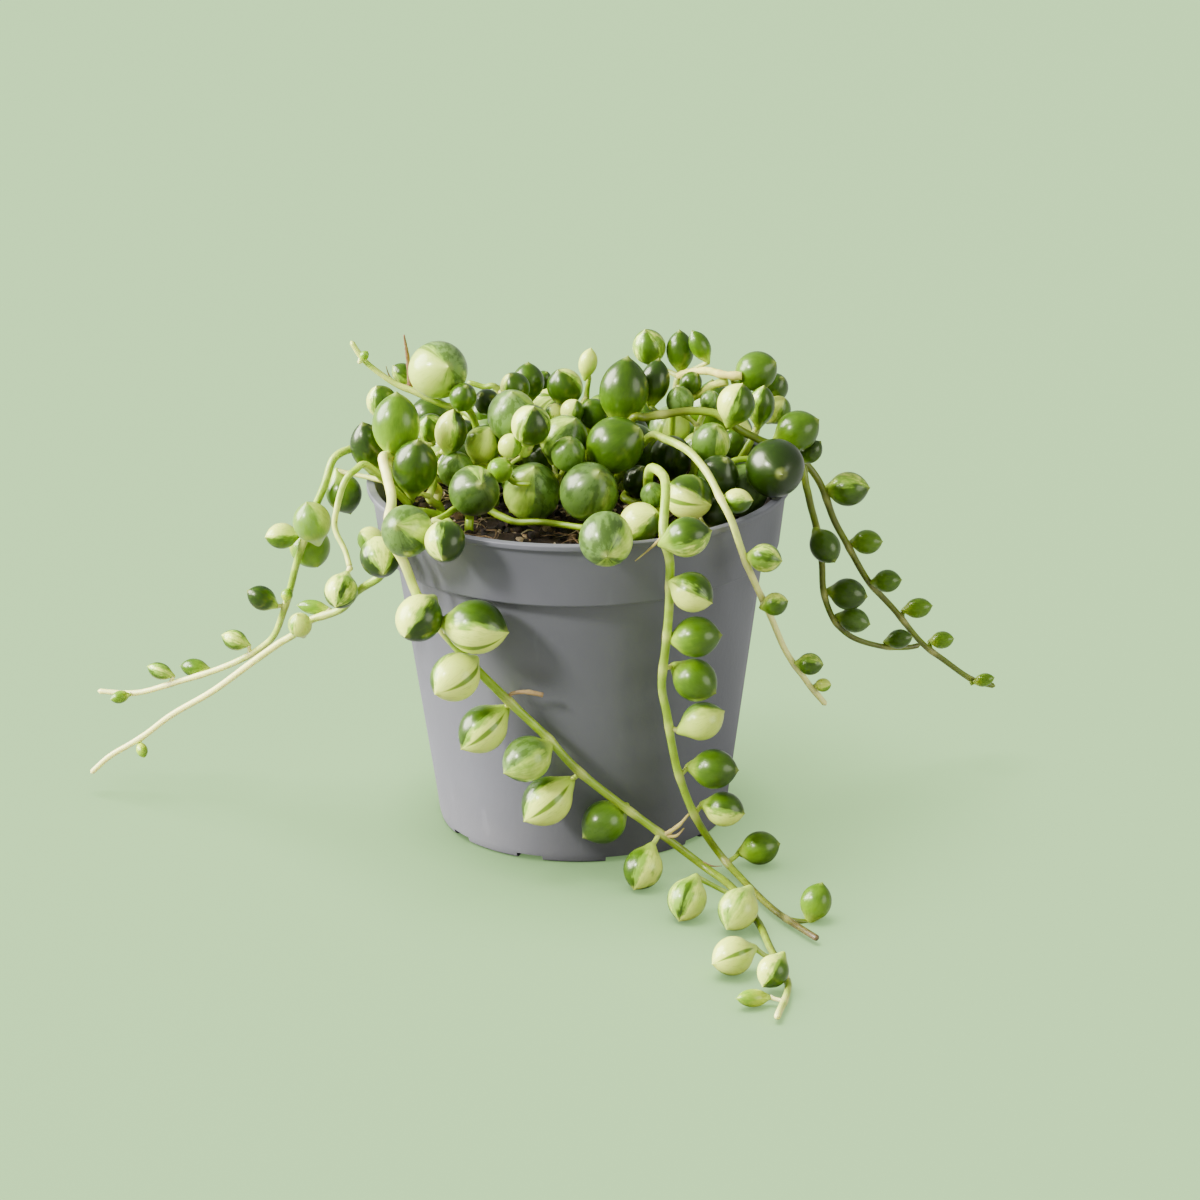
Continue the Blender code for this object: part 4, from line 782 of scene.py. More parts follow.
def tip_axis(tip, radius, scale, towards):
    """The way from base to tip, from where the tip shows: what its length lacks points at the camera."""
    right, up = tip[0] / scale, -tip[1] / scale
    reach = radius * TIP_REACH
    flat = math.hypot(right, up)
    if flat > FLATTEST_TIP * reach:
        right, up = right / flat * FLATTEST_TIP * reach, up / flat * FLATTEST_TIP * reach
        flat = FLATTEST_TIP * reach
    ahead = math.sqrt(reach**2 - flat**2)
    return unit(CAMERA_RIGHT * right + CAMERA_UP * up + TOWARDS_CAMERA * ahead * towards)


def place_leaf(row, chain, width, filled, owner):
    """Puts a leaf on its line of sight, at the clear place nearest to the depth it asks for."""
    radius = row.width / 2
    if row.lies:
        start = seen_above(row.px, row.py, radius + FLOOR_CLEAR + STEM_GAP)
    elif row.behind is not None:
        start = seen_behind(row.px, row.py, row.behind)
    else:
        near = np.linalg.norm(pixels_of(chain) - (row.px, row.py), axis=1).argmin()
        start = seen_behind(row.px, row.py, chain[near][1])
    ray = unit(sight(row.px, row.py)[1])
    scale = PIXELS_PER_MM * CAMERA_AWAY / -((start - LOOK_AT - TOWARDS_CAMERA * CAMERA_AWAY) @ TOWARDS_CAMERA)
    axis = tip_axis(row.tip, radius * row.long, scale, TIP_AHEAD if row.side > 0 else TIP_BACK)
    own_stem = chain[2:] if chain is not None else None
    best, best_cost = None, 1e9
    for step in DEPTHS:
        middle = start + ray * step
        balls, radii = leaf_balls(middle, radius, axis, row.long)
        room = filled.room(balls, radii, skip=owner) - CLEAR
        if own_stem is not None:
            apart = np.linalg.norm(own_stem - middle, axis=1).min() - radius - width / 2
            room = min(room, apart - STEM_GAP)
        mates = filled.owners == owner
        if mates.any():
            apart = np.linalg.norm(filled.middles[mates] - middle, axis=1) - filled.radii[mates] - radius
            room = min(room, apart.min() - LEAF_GAP)
        wrong_side = row.behind is None and not row.lies and step * row.side > 0
        cost = max(-room, 0.0) * OVERLAP_COST + abs(step) + (WRONG_SIDE_COST if wrong_side else 0.0)
        if cost < best_cost:
            best, best_cost = middle, cost
    return best, radius, axis


def stalk_path(base, axis, foot):
    """A leaf's stalk: out of the leaf along its axis, then over to the stem."""
    reach = np.linalg.norm(base - foot)
    bend = base - axis * STALK_BEND * reach
    share = np.linspace(0.0, 1.0, 5)[:, None]
    return (1 - share) ** 2 * base + 2 * share * (1 - share) * bend + share**2 * foot


def best_stalk(middle, radius, axis, long, chain, filled, owner):
    """The clearest short stalk from a leaf's base to its stem."""
    base = middle - axis * radius * long * BASE_REACH
    feet = chain[2:]
    order = np.argsort(np.linalg.norm(feet - base, axis=1))[:FEET_TRIED]
    best, best_cost = None, 1e9
    for index in order:
        path = stalk_path(base, axis, feet[index])
        room = filled.room(path[:-1], STALK_RADIUS, skip=owner)
        mates = filled.owners == owner
        own = np.linalg.norm(path[1:-1, None] - filled.middles[None, mates], axis=2) - filled.radii[mates]
        own_room = own.min() - STALK_RADIUS if mates.any() else 1.0
        crowded = STALK_CLEAR_COST * max(CLEAR - room, 0) + STALK_OWN_COST * max(-own_room, 0)
        cost = np.linalg.norm(feet[index] - base) + crowded
        if cost < best_cost:
            best, best_cost = path, cost
    return bent_clear(best, STALK_RADIUS, filled, owner, 1, fixed_end=1, rounds=STALK_ROUNDS)


def heap_chain(plan, places):
    """A stem through the heap: from its root past the base of each of its leaves."""
    points = root_points(plan.root)
    for middle, radius, axis, long in places:
        points.append(middle - axis * (radius * long + HEAP_STALK))
    return smooth_chain(points, STEM_STEP)


class Plant:
    """Every stem and leaf of the plant, with the balls they fill."""

    def __init__(self):
        self.filled = Filled()
        self.names = []
        self.chains = []
        self.widths = []
        self.leaves = []
        self.rows = []

    def start(self, name, chain, width):
        """Begins a stem and gives its number."""
        self.names.append(name)
        self.chains.append(chain)
        self.widths.append(width)
        self.leaves.append([])
        self.rows.append(None)
        return len(self.names) - 1

    def hold(self, owner):
        """Counts a stem's chain as filled. The first points stand in the soil."""
        chain = self.chains[owner]
        radii = stem_radii(self.widths[owner], len(chain))
        self.rows[owner] = self.filled.add(chain[2:], radii[2:], owner)

    def bend_again(self, owner):
        """Bends a given route clear of what was set after it."""
        rows = self.rows[owner]
        radii = self.filled.radii[rows].copy()
        self.filled.radii[rows] = OUT_OF_REACH
        half = self.widths[owner] / 2
        chain = bent_clear(self.chains[owner], half, self.filled, owner, ROOT_STEPS, keeps_shape=True)
        self.chains[owner] = chain
        self.filled.middles[rows] = chain[2:]
        self.filled.radii[rows] = radii

    def grow_shown(self):
        """The stems that the photograph shows: routes first, then leaves, then the stems of the heap."""
        plans = TRAILING + HEAPED
        for plan in plans:
            owner = self.start(plan.name, routed(plan) if plan.route else None, plan.width)
            if plan.route:
                self.hold(owner)
        places = []
        for owner, plan in enumerate(plans):
            places.append([])
            for row in plan.leaves:
                middle, radius, axis = place_leaf(
                    row, self.chains[owner], plan.width, self.filled, owner
                )
                places[owner].append((middle, radius, axis, row.long))
                self.filled.add(*leaf_balls(middle, radius, axis, row.long), owner)
        for owner, plan in enumerate(plans):
            if plan.route:
                self.bend_again(owner)
        for owner, plan in enumerate(plans):
            if not plan.route:
                chain = heap_chain(plan, places[owner])
                self.chains[owner] = bent_clear(chain, plan.width / 2, self.filled, owner, ROOT_STEPS)
                self.hold(owner)
        for owner, plan in enumerate(plans):
            for (middle, radius, axis, long), row in zip(places[owner], plan.leaves):
                stalk = best_stalk(middle, radius, axis, long, self.chains[owner], self.filled, owner)
                self.filled.add(stalk[1:-1], STALK_RADIUS, owner)
                self.leaves[owner].append(Grown(middle, radius, axis, long, stalk, row.look))

    def grow_hanging(self):
        """The stems over the back of the rim, with their leaves to each side and outwards by turns."""
        draw = random.Random(SEED)
        up = np.array((0.0, 0.0, 1.0))
        for plan in HANGING:
            turn = math.radians(plan.azimuth)
            out = np.array((math.cos(turn), math.sin(turn), 0.0))
            along = np.cross(up, out)
            points = root_points(out[:2] * HANGING_ROOT)
            points += [out * away + up * height for away, height in OVER_RIM]
            points.append(out * OVER_RIM[-1][0] + up * (RIM_HEIGHT - plan.drop))
            chain = smooth_chain(points, STEM_STEP)
            past = np.clip(np.linalg.norm(chain[:, :2], axis=1, keepdims=True) - RIM_RADIUS, 0.0, 1.0)
            chain += along * np.sin(chain[:, 2:] * WAVE) * past
            owner = self.start(plan.name, chain, HIDDEN_WIDTH)
            self.hold(owner)
            low = np.flatnonzero(past[:, 0] > 0.5)[0]
            for number in range(plan.count):
                share = (number + 0.3) / plan.count
                foot = chain[low + int(share * (len(chain) - 1 - low))]
                side = (along, -along, out)[number % 3]
                way = unit(side + out * draw.uniform(0.2, 0.7) - up * draw.uniform(0.0, 0.5))
                radius = 2.9 - 1.3 * share + draw.uniform(-0.2, 0.2)
                self.try_leaf(foot, way, radius, draw.uniform(1.1, 1.6), owner)

    def grow_creeping(self):
        """The stems behind and inside the heap. Each creeps bend by bend where there is room, and sets
        leaves after each bend. A bend or a leaf that would touch anything is drawn again."""
        draw = random.Random(SEED)
        owners = [self.start(plan.name, root_points(plan.root), HIDDEN_WIDTH) for plan in CREEPING]
        for owner in owners:
            self.filled.add(np.array(self.chains[owner][2:]), HIDDEN_WIDTH / 2, owner)
        for owner, plan in zip(owners, CREEPING):
            chain = self.chains[owner]
            heading = math.radians(plan.heading)
            self.sprout(draw, chain, owner)
            for _ in range(plan.bends):
                grown = self.next_bend(draw, chain[-1], heading)
                if grown is None:
                    heading += 2.1
                    continue
                line = even_steps(np.array((chain[-1], grown)), 1.0)
                self.filled.add(line[1:], HIDDEN_WIDTH / 2, owner)
                chain.append(grown)
                self.sprout(draw, chain, owner)
            self.chains[owner] = smooth_chain(chain, STEM_STEP)

    def next_bend(self, draw, tip, heading):
        """A clear place for the stem's next bend, 3 to 4.5 mm on."""
        for _ in range(BEND_DRAWS):
            turn = heading + draw.uniform(-0.9, 0.9)
            way = unit(np.array((math.cos(turn), math.sin(turn), draw.uniform(-0.3, 0.6))))
            spot = tip + way * draw.uniform(3.0, 4.5)
            line = even_steps(np.array((tip, spot)), 0.8)
            inside = math.hypot(spot[0], spot[1]) < HEAP_EDGE
            clear = self.filled.room(line[2:], HIDDEN_WIDTH / 2) > CLEAR + BENDS_CLEAR_BY
            if inside and clear and self.is_hidden(spot, 0.6):
                return spot
        return None

    def sprout(self, draw, chain, owner):
        """Up to four leaves round the stem's last bend, larger ones first."""
        for radius in SPROUT_RADII:
            for _ in range(LEAF_DRAWS):
                way = unit(np.array([draw.gauss(0.0, 1.0) for _ in range(3)]) + (0.0, 0.3, 0.4))
                foot = chain[-1] + (chain[-2] - chain[-1]) * draw.uniform(0.0, 0.3)
                size = radius + draw.uniform(-0.25, 0.25)
                upright = abs(way @ unit(chain[-1] - chain[-2])) < 0.8
                if upright and self.try_leaf(foot, way, size, draw.uniform(1.0, 1.8), owner):
                    break

    def try_leaf(self, foot, way, radius, reach, owner):
        """Sets a leaf on a stalk of this reach, unless it would touch anything or show."""
        middle = foot + way * (radius * HIDDEN_LONG + HIDDEN_WIDTH / 2 + reach)
        outside = np.linalg.norm(middle[:2]) > RIM_RADIUS and middle[1] > 15.0
        if not (outside or self.is_hidden(middle, radius)):
            return False
        balls, radii = leaf_balls(middle, radius, way, HIDDEN_LONG)
        stalk = even_steps(np.array((middle - way * radius * 1.04, foot)), 0.8)
        if self.filled.room(balls, radii, skip=owner) < CLEAR:
            return False
        if self.filled.room(stalk[:-1], STALK_RADIUS, skip=owner) < CLEAR:
            return False
        mates = self.filled.owners == owner
        if mates.any():
            apart = np.linalg.norm(balls[:, None] - self.filled.middles[None, mates], axis=2)
            if (apart - radii[:, None] - self.filled.radii[None, mates]).min() < OWN_GAP:
                return False
        self.filled.add(balls, radii, owner)
        self.filled.add(stalk[1:-1], STALK_RADIUS, owner)
        self.leaves[owner].append(Grown(middle, radius, way, HIDDEN_LONG, stalk_path(stalk[0], way, foot), None))
        return True

    def is_hidden(self, spot, radius):
        """Behind the heap's front, and under its skyline as the camera sees it."""
        px, py = pixels_of(spot)[0]
        over = np.interp(px, SKYLINE[:, 0], SKYLINE[:, 1])
        return spot[1] > HEAP_FRONT and py - radius * PIXELS_PER_MM > over + UNDER_SKYLINE


def frames_along(path):
    """Two unit vectors across the path at each point, turned as little as possible from point to point.
    At a bend they span the plane halfway between both runs."""
    runs = np.diff(path, axis=0)
    runs /= np.maximum(np.linalg.norm(runs, axis=1, keepdims=True), 1e-9)
    ways = np.concatenate((runs[:1], runs[:-1] + runs[1:], runs[-1:]))
    ways /= np.maximum(np.linalg.norm(ways, axis=1, keepdims=True), 1e-9)
    side = unit(np.cross(ways[0], (0.0, 0.0, 1.0) if abs(ways[0][2]) < 0.9 else (1.0, 0.0, 0.0)))
    sides = []
    for way in ways:
        side = unit(side - way * (side @ way))
        sides.append(side)
    sides = np.array(sides)
    return sides, np.cross(ways, sides)


def carried(path, radii, count):
    """A ring of points round each point of the path, as an array of rings."""
    first, second = frames_along(path)
    turn = np.arange(count) * 2 * math.pi / count
    ring = np.cos(turn)[None, :, None] * first[:, None] + np.sin(turn)[None, :, None] * second[:, None]
    return path[:, None] + ring * np.asarray(radii)[:, None, None]

# Leaves and stems as skins

LEAF_AROUND, LEAF_ALONG = 40, 30
SMALL_AROUND, SMALL_ALONG = 26, 20
SMALL_LEAF = 2.1
END_CROWDING = 0.75
TAPER_REACH, TAPER_WIDTH = 0.085, 0.5
POINT_REACH, POINT_WIDTH = 0.13, 0.12
NECK_REACH, NECK_WIDTH, NECK_SHARE = 0.40, 0.35, 0.8
TIP_BEND, TIP_BEND_WIDTH = 0.07, 0.6
STEM_AROUND, STALK_AROUND = 12, 12
SKIN_STEP = 0.35
NODE_SWELLING, NODE_HALF = 0.13, 1.0
STALK_SKIN = 0.33
STALK_FLARE, STEM_FLARE = 0.35, 0.5
HIDDEN_TONES = (0.45, 0.45)
PALER_STALK = 0.2
VIEW_LEAN = math.radians(55)
NO_SLIT = (1.0, 0.0, 0.0)


class Skin:
    """Gathers grids of rings into one mesh, with the values that the material reads at each point."""

    VALUES = ("place_on_leaf", "cream_first", "cream_second", "leaf_tone", "leaf_slit")

    def __init__(self):
        self.points = []
        self.quads = []
        self.fans = []
        self.quad_kinds = []
        self.fan_kinds = []
        self.values = {name: [] for name in self.VALUES}
        self.count = 0

    def add(self, rings, start, stop, kind, **values):
        """rings: (rows, around, 3), each turning right-handed about the way on. A fan closes each end."""
        rows, around, _ = rings.shape
        row, column = np.meshgrid(np.arange(rows - 1), np.arange(around), indexing="ij")
        following = (column + 1) % around
        low, high = row * around, (row + 1) * around
        quads = np.stack((low + column, low + following, high + following, high + column), axis=-1)
        self.quads.append(quads.reshape(-1, 4) + self.count)
        turn = np.arange(around)
        after = (turn + 1) % around
        last = (rows - 1) * around
        first_point, last_point = rows * around, rows * around + 1
        bottom = np.stack((np.full(around, first_point), after, turn), axis=1)
        top = np.stack((np.full(around, last_point), last + turn, last + after), axis=1)
        self.fans.append(np.concatenate((bottom, top)) + self.count)
        self.quad_kinds.append(np.full((rows - 1) * around, kind))
        self.fan_kinds.append(np.full(2 * around, kind))
        self.points += [rings.reshape(-1, 3), np.stack((start, stop))]
        for name in self.VALUES:
            value = np.broadcast_to(values.get(name, np.zeros(3)), (rows, around, 3))
            self.values[name] += [value.reshape(-1, 3), value[[0, -1]].mean(axis=1)]
        self.count += rows * around + 2

    def made(self, name, materials):
        mesh = new_mesh(name, np.concatenate(self.points), self.quads, self.fans)
        mesh.polygons.foreach_set("material_index", np.concatenate(self.quad_kinds + self.fan_kinds))
        for key, parts in self.values.items():
            attribute = mesh.attributes.new(key, "FLOAT_VECTOR", "POINT")
            attribute.data.foreach_set("vector", np.concatenate(parts).astype(np.float32).ravel())
        return add_piece(name, mesh, materials)


def new_mesh(name, points, quads, fans=()):
    """A smooth mesh from points in millimetres and lists of arrays of quads and triangles."""
    quads = np.concatenate(quads) if len(quads) else np.zeros((0, 4), int)
    fans = np.concatenate(fans) if len(fans) else np.zeros((0, 3), int)
    corners = np.concatenate((quads.ravel(), fans.ravel())).astype(np.int32)
    starts = np.concatenate((np.arange(len(quads)) * 4, quads.size + np.arange(len(fans)) * 3))
    mesh = bpy.data.meshes.new(name)
    mesh.vertices.add(len(points))
    mesh.vertices.foreach_set("co", (points * MM).astype(np.float32).ravel())
    mesh.loops.add(len(corners))
    mesh.loops.foreach_set("vertex_index", corners)
    mesh.polygons.add(len(starts))
    mesh.polygons.foreach_set("loop_start", starts.astype(np.int32))
    mesh.update(calc_edges=True)
    mesh.shade_smooth()
    return mesh


def add_piece(name, mesh, materials):
    piece = bpy.data.objects.new(name, mesh)
    bpy.context.scene.collection.objects.link(piece)
    for material in materials:
        mesh.materials.append(material)
    return piece


def leaf_frame(axis):
    """The leaf's front, which turns to the camera, and its side, both across its axis."""
    front = TOWARDS_CAMERA - axis * (axis @ TOWARDS_CAMERA)
    if np.linalg.norm(front) < 0.15:
        front = CAMERA_UP - axis * (axis @ CAMERA_UP)
    front = unit(front)
    return front, np.cross(axis, front)


def seen_round(clock, lean, front, side):
    """The direction about the leaf's axis of the place that the camera sees this way off the middle."""
    turn = math.radians(clock)
    flat = CAMERA_RIGHT * math.sin(turn) + CAMERA_UP * math.cos(turn)
    normal = flat * math.sin(lean) + TOWARDS_CAMERA * math.cos(lean)
    return unit(np.array((normal @ front, normal @ side)))


def drawn_look(draw):
    """A look for a leaf that the photograph doesn't show."""
    creams = []
    if draw.random() < 0.45:
        creams.append((draw.uniform(0, 360), draw.uniform(15, 110)))
    veil = draw.uniform(0.3, 0.8) if draw.random() < 0.25 else 0.0
    return Look(draw.uniform(0.15, 0.65), creams, (draw.uniform(0, 360), 20), veil)


def look_values(looks, front, side, draw):
    """What the leaf's material reads, the same all over one leaf."""
    creams = []
    for clock, half in (*looks.creams, (0, 0), (0, 0))[:2]:
        round_way = seen_round(clock, VIEW_LEAN, front, side)
        creams.append((*round_way, math.cos(math.radians(half)) if half else 2.0))
    slit = NO_SLIT
    if looks.slit:
        slit = (*seen_round(looks.slit[0], math.radians(looks.slit[1]), front, side), 1.0)
    return {
        "cream_first": np.array(creams[0]),
        "cream_second": np.array(creams[1]),
        "leaf_tone": np.array((looks.tone, draw.uniform(0, 1), looks.veil)),
        "leaf_slit": np.array(slit),
    }


def leaf_skin(skin, grown, neck, draw):
    """A leaf: a ball drawn out to a sharp point at its tip and to a neck at its base. With the turn down
    from the tip called fall, its reach is the cosine of fall, plus a bell curve and a spike about the
    tip, less a bell curve about the base; its girth is the sine of fall, a little uneven round about.
    A sideways bell curve bends the tip."""
    fine = grown.radius >= SMALL_LEAF
    around, along = (LEAF_AROUND, LEAF_ALONG) if fine else (SMALL_AROUND, SMALL_ALONG)
    share = np.linspace(1.0, 0.0, along + 1)[1:-1]
    fall = math.pi * share - END_CROWDING * np.sin(2 * math.pi * share) / 2
    reach = (
        np.cos(fall)
        + TAPER_REACH * np.exp(-((fall / TAPER_WIDTH) ** 2))
        + POINT_REACH * np.exp(-fall / POINT_WIDTH)
        - neck * np.exp(-(((math.pi - fall) / NECK_WIDTH) ** 2))
    )
    turn = np.arange(around) * 2 * math.pi / around
    uneven = 1 + 0.012 * np.sin(2 * turn + draw.uniform(0, 6)) + 0.008 * np.sin(3 * turn + draw.uniform(0, 6))
    girth = np.sin(fall)[:, None] * (1 + (uneven - 1)[None] * np.sin(fall)[:, None])
    front, side = leaf_frame(grown.axis)
    across = girth * np.cos(turn), girth * np.sin(turn)
    place = np.stack((*across, np.broadcast_to(reach[:, None], girth.shape)), axis=-1)
    sizes = np.array((grown.radius, grown.radius, grown.radius * grown.long))
    rings = grown.middle + (place * sizes) @ np.stack((front, side, grown.axis))
    turned = draw.uniform(0, 2 * math.pi)
    bend = (front * math.cos(turned) + side * math.sin(turned)) * grown.radius * TIP_BEND * draw.uniform(0.2, 1)
    rings += np.exp(-((fall / TIP_BEND_WIDTH) ** 2))[:, None, None] * bend
    start = grown.middle - grown.axis * sizes[2] * (1 + neck)
    stop = grown.middle + grown.axis * sizes[2] * (1 + TAPER_REACH + POINT_REACH) + bend
    skin.add(rings, start, stop, 0, place_on_leaf=place, **look_values(grown.look, front, side, draw))


STEM_KIND = 1


def tube_skin(skin, path, radii, around, tones, seed, marks, kind=STEM_KIND):
    """A round tube along a path, with a radius, a tone and a mark (how close a joint is) at each point."""
    rings = carried(path, radii, around)
    share = np.linspace(0.0, 1.0, len(path))
    turn = np.arange(around) * 2 * math.pi / around
    shape = (len(path), around)
    place = np.stack(
        (
            np.broadcast_to(np.cos(turn), shape),
            np.broadcast_to(np.sin(turn), shape),
            np.broadcast_to(share[:, None], shape),
        ),
        axis=-1,
    )
    value = np.stack(
        [np.broadcast_to(np.reshape(value, (-1, 1)), shape) for value in (tones, seed, marks)], axis=-1
    )
    skin.add(rings, path[0], path[-1], kind, place_on_leaf=place, leaf_tone=value)


def stem_skin(skin, chain, width, feet, tones, draw):
    """The stem: its chain smoothed, swollen where a stalk leaves it, with a rounded tip."""
    path = smooth_chain(chain, SKIN_STEP)
    radii = stem_radii(width, len(path))
    nodes = np.array([chain[foot] for foot in feet]) if feet else np.zeros((0, 3))
    if len(nodes):
        apart = np.linalg.norm(path[:, None] - nodes[None], axis=2).min(axis=1)
        marks = np.exp(-((apart / NODE_HALF) ** 2))
    else:
        marks = np.zeros(len(path))
    radii = radii * (1 + NODE_SWELLING * marks)
    left = np.arange(len(path))[::-1] * SKIN_STEP
    radii = radii * np.sqrt(1 - (1 - np.minimum(left / radii, 1.0)) ** 2 * 0.9)
    tube_skin(skin, path, radii, STEM_AROUND, tones_at(tones, path), draw.uniform(0, 1), marks)


def tones_at(tones, points):
    """Evenly spaced tones spread over as many points as a path has."""
    return np.interp(np.linspace(0.0, 1.0, len(points)), np.linspace(0.0, 1.0, len(tones)), tones)


def neck_of(grown, foot):
    """How far the leaf's base is drawn out towards its stalk, as a share of its half length."""
    half = grown.radius * grown.long
    apart = np.linalg.norm(grown.middle - grown.axis * half - foot)
    return min(NECK_REACH, NECK_SHARE * apart / half)


def stalk_skin(skin, grown, foot, neck, tone, draw):
    """The leaf's stalk: a bend from the stem to just inside the leaf's neck, flared at both ends."""
    half = grown.radius * grown.long
    base = grown.middle - grown.axis * half * (1 + 0.55 * neck)
    between = [spot for spot in grown.stalk[::-1][1:-1] if (spot - base) @ grown.axis < -0.3]
    path = smooth_chain(np.array([foot, *between, base]), SKIN_STEP)
    share = np.linspace(0.0, 1.0, len(path))
    size = STALK_SKIN * min(1.0, 0.6 + grown.radius * 0.15)
    radii = size * (1 + STALK_FLARE * share**4 + STEM_FLARE * (1 - share) ** 4)
    tube_skin(skin, path, radii, STALK_AROUND, tone, draw.uniform(0, 1), (1 - share) ** 3)


# Materials


class Shader:
    """A material's nodes: each method adds one and returns its socket. An input may be a socket."""

    def __init__(self, name):
        self.material = bpy.data.materials.new(name)
        self.material.use_nodes = True
        self.tree = self.material.node_tree
        self.surface = self.tree.nodes["Principled BSDF"]

    def node(self, kind, inputs, **settings):
        made = self.tree.nodes.new(kind)
        for key, value in settings.items():
            setattr(made, key, value)
        for key, value in inputs.items():
            if isinstance(value, bpy.types.NodeSocket):
                self.tree.links.new(value, made.inputs[key])
            else:
                made.inputs[key].default_value = value
        return made

    def attribute(self, name):
        return self.node("ShaderNodeAttribute", {}, attribute_name=name).outputs["Vector"]

    def parts(self, vector):
        return self.node("ShaderNodeSeparateXYZ", {0: vector}).outputs

    def vector(self, x, y, z):
        return self.node("ShaderNodeCombineXYZ", {0: x, 1: y, 2: z}).outputs[0]

    def math(self, operation, *values, clamp=False):
        inputs = dict(enumerate(values))
        return self.node("ShaderNodeMath", inputs, operation=operation, use_clamp=clamp).outputs[0]

    def add(self, *values):
        total = values[0]
        for value in values[1:]:
            total = self.math("ADD", total, value)
        return total

    def times(self, first, second):
        return self.math("MULTIPLY", first, second)

    def step(self, value, low, high, start=0.0, stop=1.0):
        """Goes smoothly from start at low to stop at high."""
        inputs = {"Value": value, "From Min": low, "From Max": high, "To Min": start, "To Max": stop}
        return self.node("ShaderNodeMapRange", inputs, interpolation_type="SMOOTHSTEP").outputs[0]

    def object_place(self):
        return self.node("ShaderNodeTexCoord", {}).outputs["Object"]

    def scaled(self, vector, scale, offset=(0.0, 0.0, 0.0)):
        inputs = {"Vector": vector, "Scale": scale, "Location": offset}
        return self.node("ShaderNodeMapping", inputs).outputs[0]

    def noise(self, vector, scale, detail=3.0, rough=0.5):
        inputs = {"Vector": vector, "Scale": scale, "Detail": detail, "Roughness": rough}
        return self.node("ShaderNodeTexNoise", inputs).outputs["Fac"]

    def cells(self, vector, scale, output="Distance", **settings):
        return self.node("ShaderNodeTexVoronoi", {"Vector": vector, "Scale": scale}, **settings).outputs[output]

    def mix(self, share, first, second, blend="MIX"):
        inputs = {"Factor": share, "A": first, "B": second}
        made = self.tree.nodes.new("ShaderNodeMix")
        made.data_type = "RGBA"
        made.blend_type = blend
        for socket in made.inputs:
            if socket.name in inputs and socket.enabled:
                value = inputs[socket.name]
                if isinstance(value, bpy.types.NodeSocket):
                    self.tree.links.new(value, socket)
                else:
                    socket.default_value = value
        return next(socket for socket in made.outputs if socket.enabled)

    def ramp(self, value, *stops):
        made = self.node("ShaderNodeValToRGB", {"Fac": value})
        elements = made.color_ramp.elements
        while len(elements) < len(stops):
            elements.new(0.5)
        for element, (place, colour) in zip(elements, stops):
            element.position = place
            element.color = colour
        return made.outputs["Color"]

    def bump(self, height, strength, distance):
        inputs = {"Height": height, "Strength": strength, "Distance": distance}
        return self.node("ShaderNodeBump", inputs).outputs[0]

    def finish(self, **sockets):
        """Links or sets the surface's own inputs. An underscore in a name stands for a space."""
        for key, value in sockets.items():
            socket = self.surface.inputs[key.replace("_", " ")]
            if isinstance(value, bpy.types.NodeSocket):
                self.tree.links.new(value, socket)
            else:
                socket.default_value = value
        return self.material


def opaque(colour):
    return (*colour[:3], 1.0)


def darker(colour, share):
    return tuple(channel * share for channel in colour[:3])


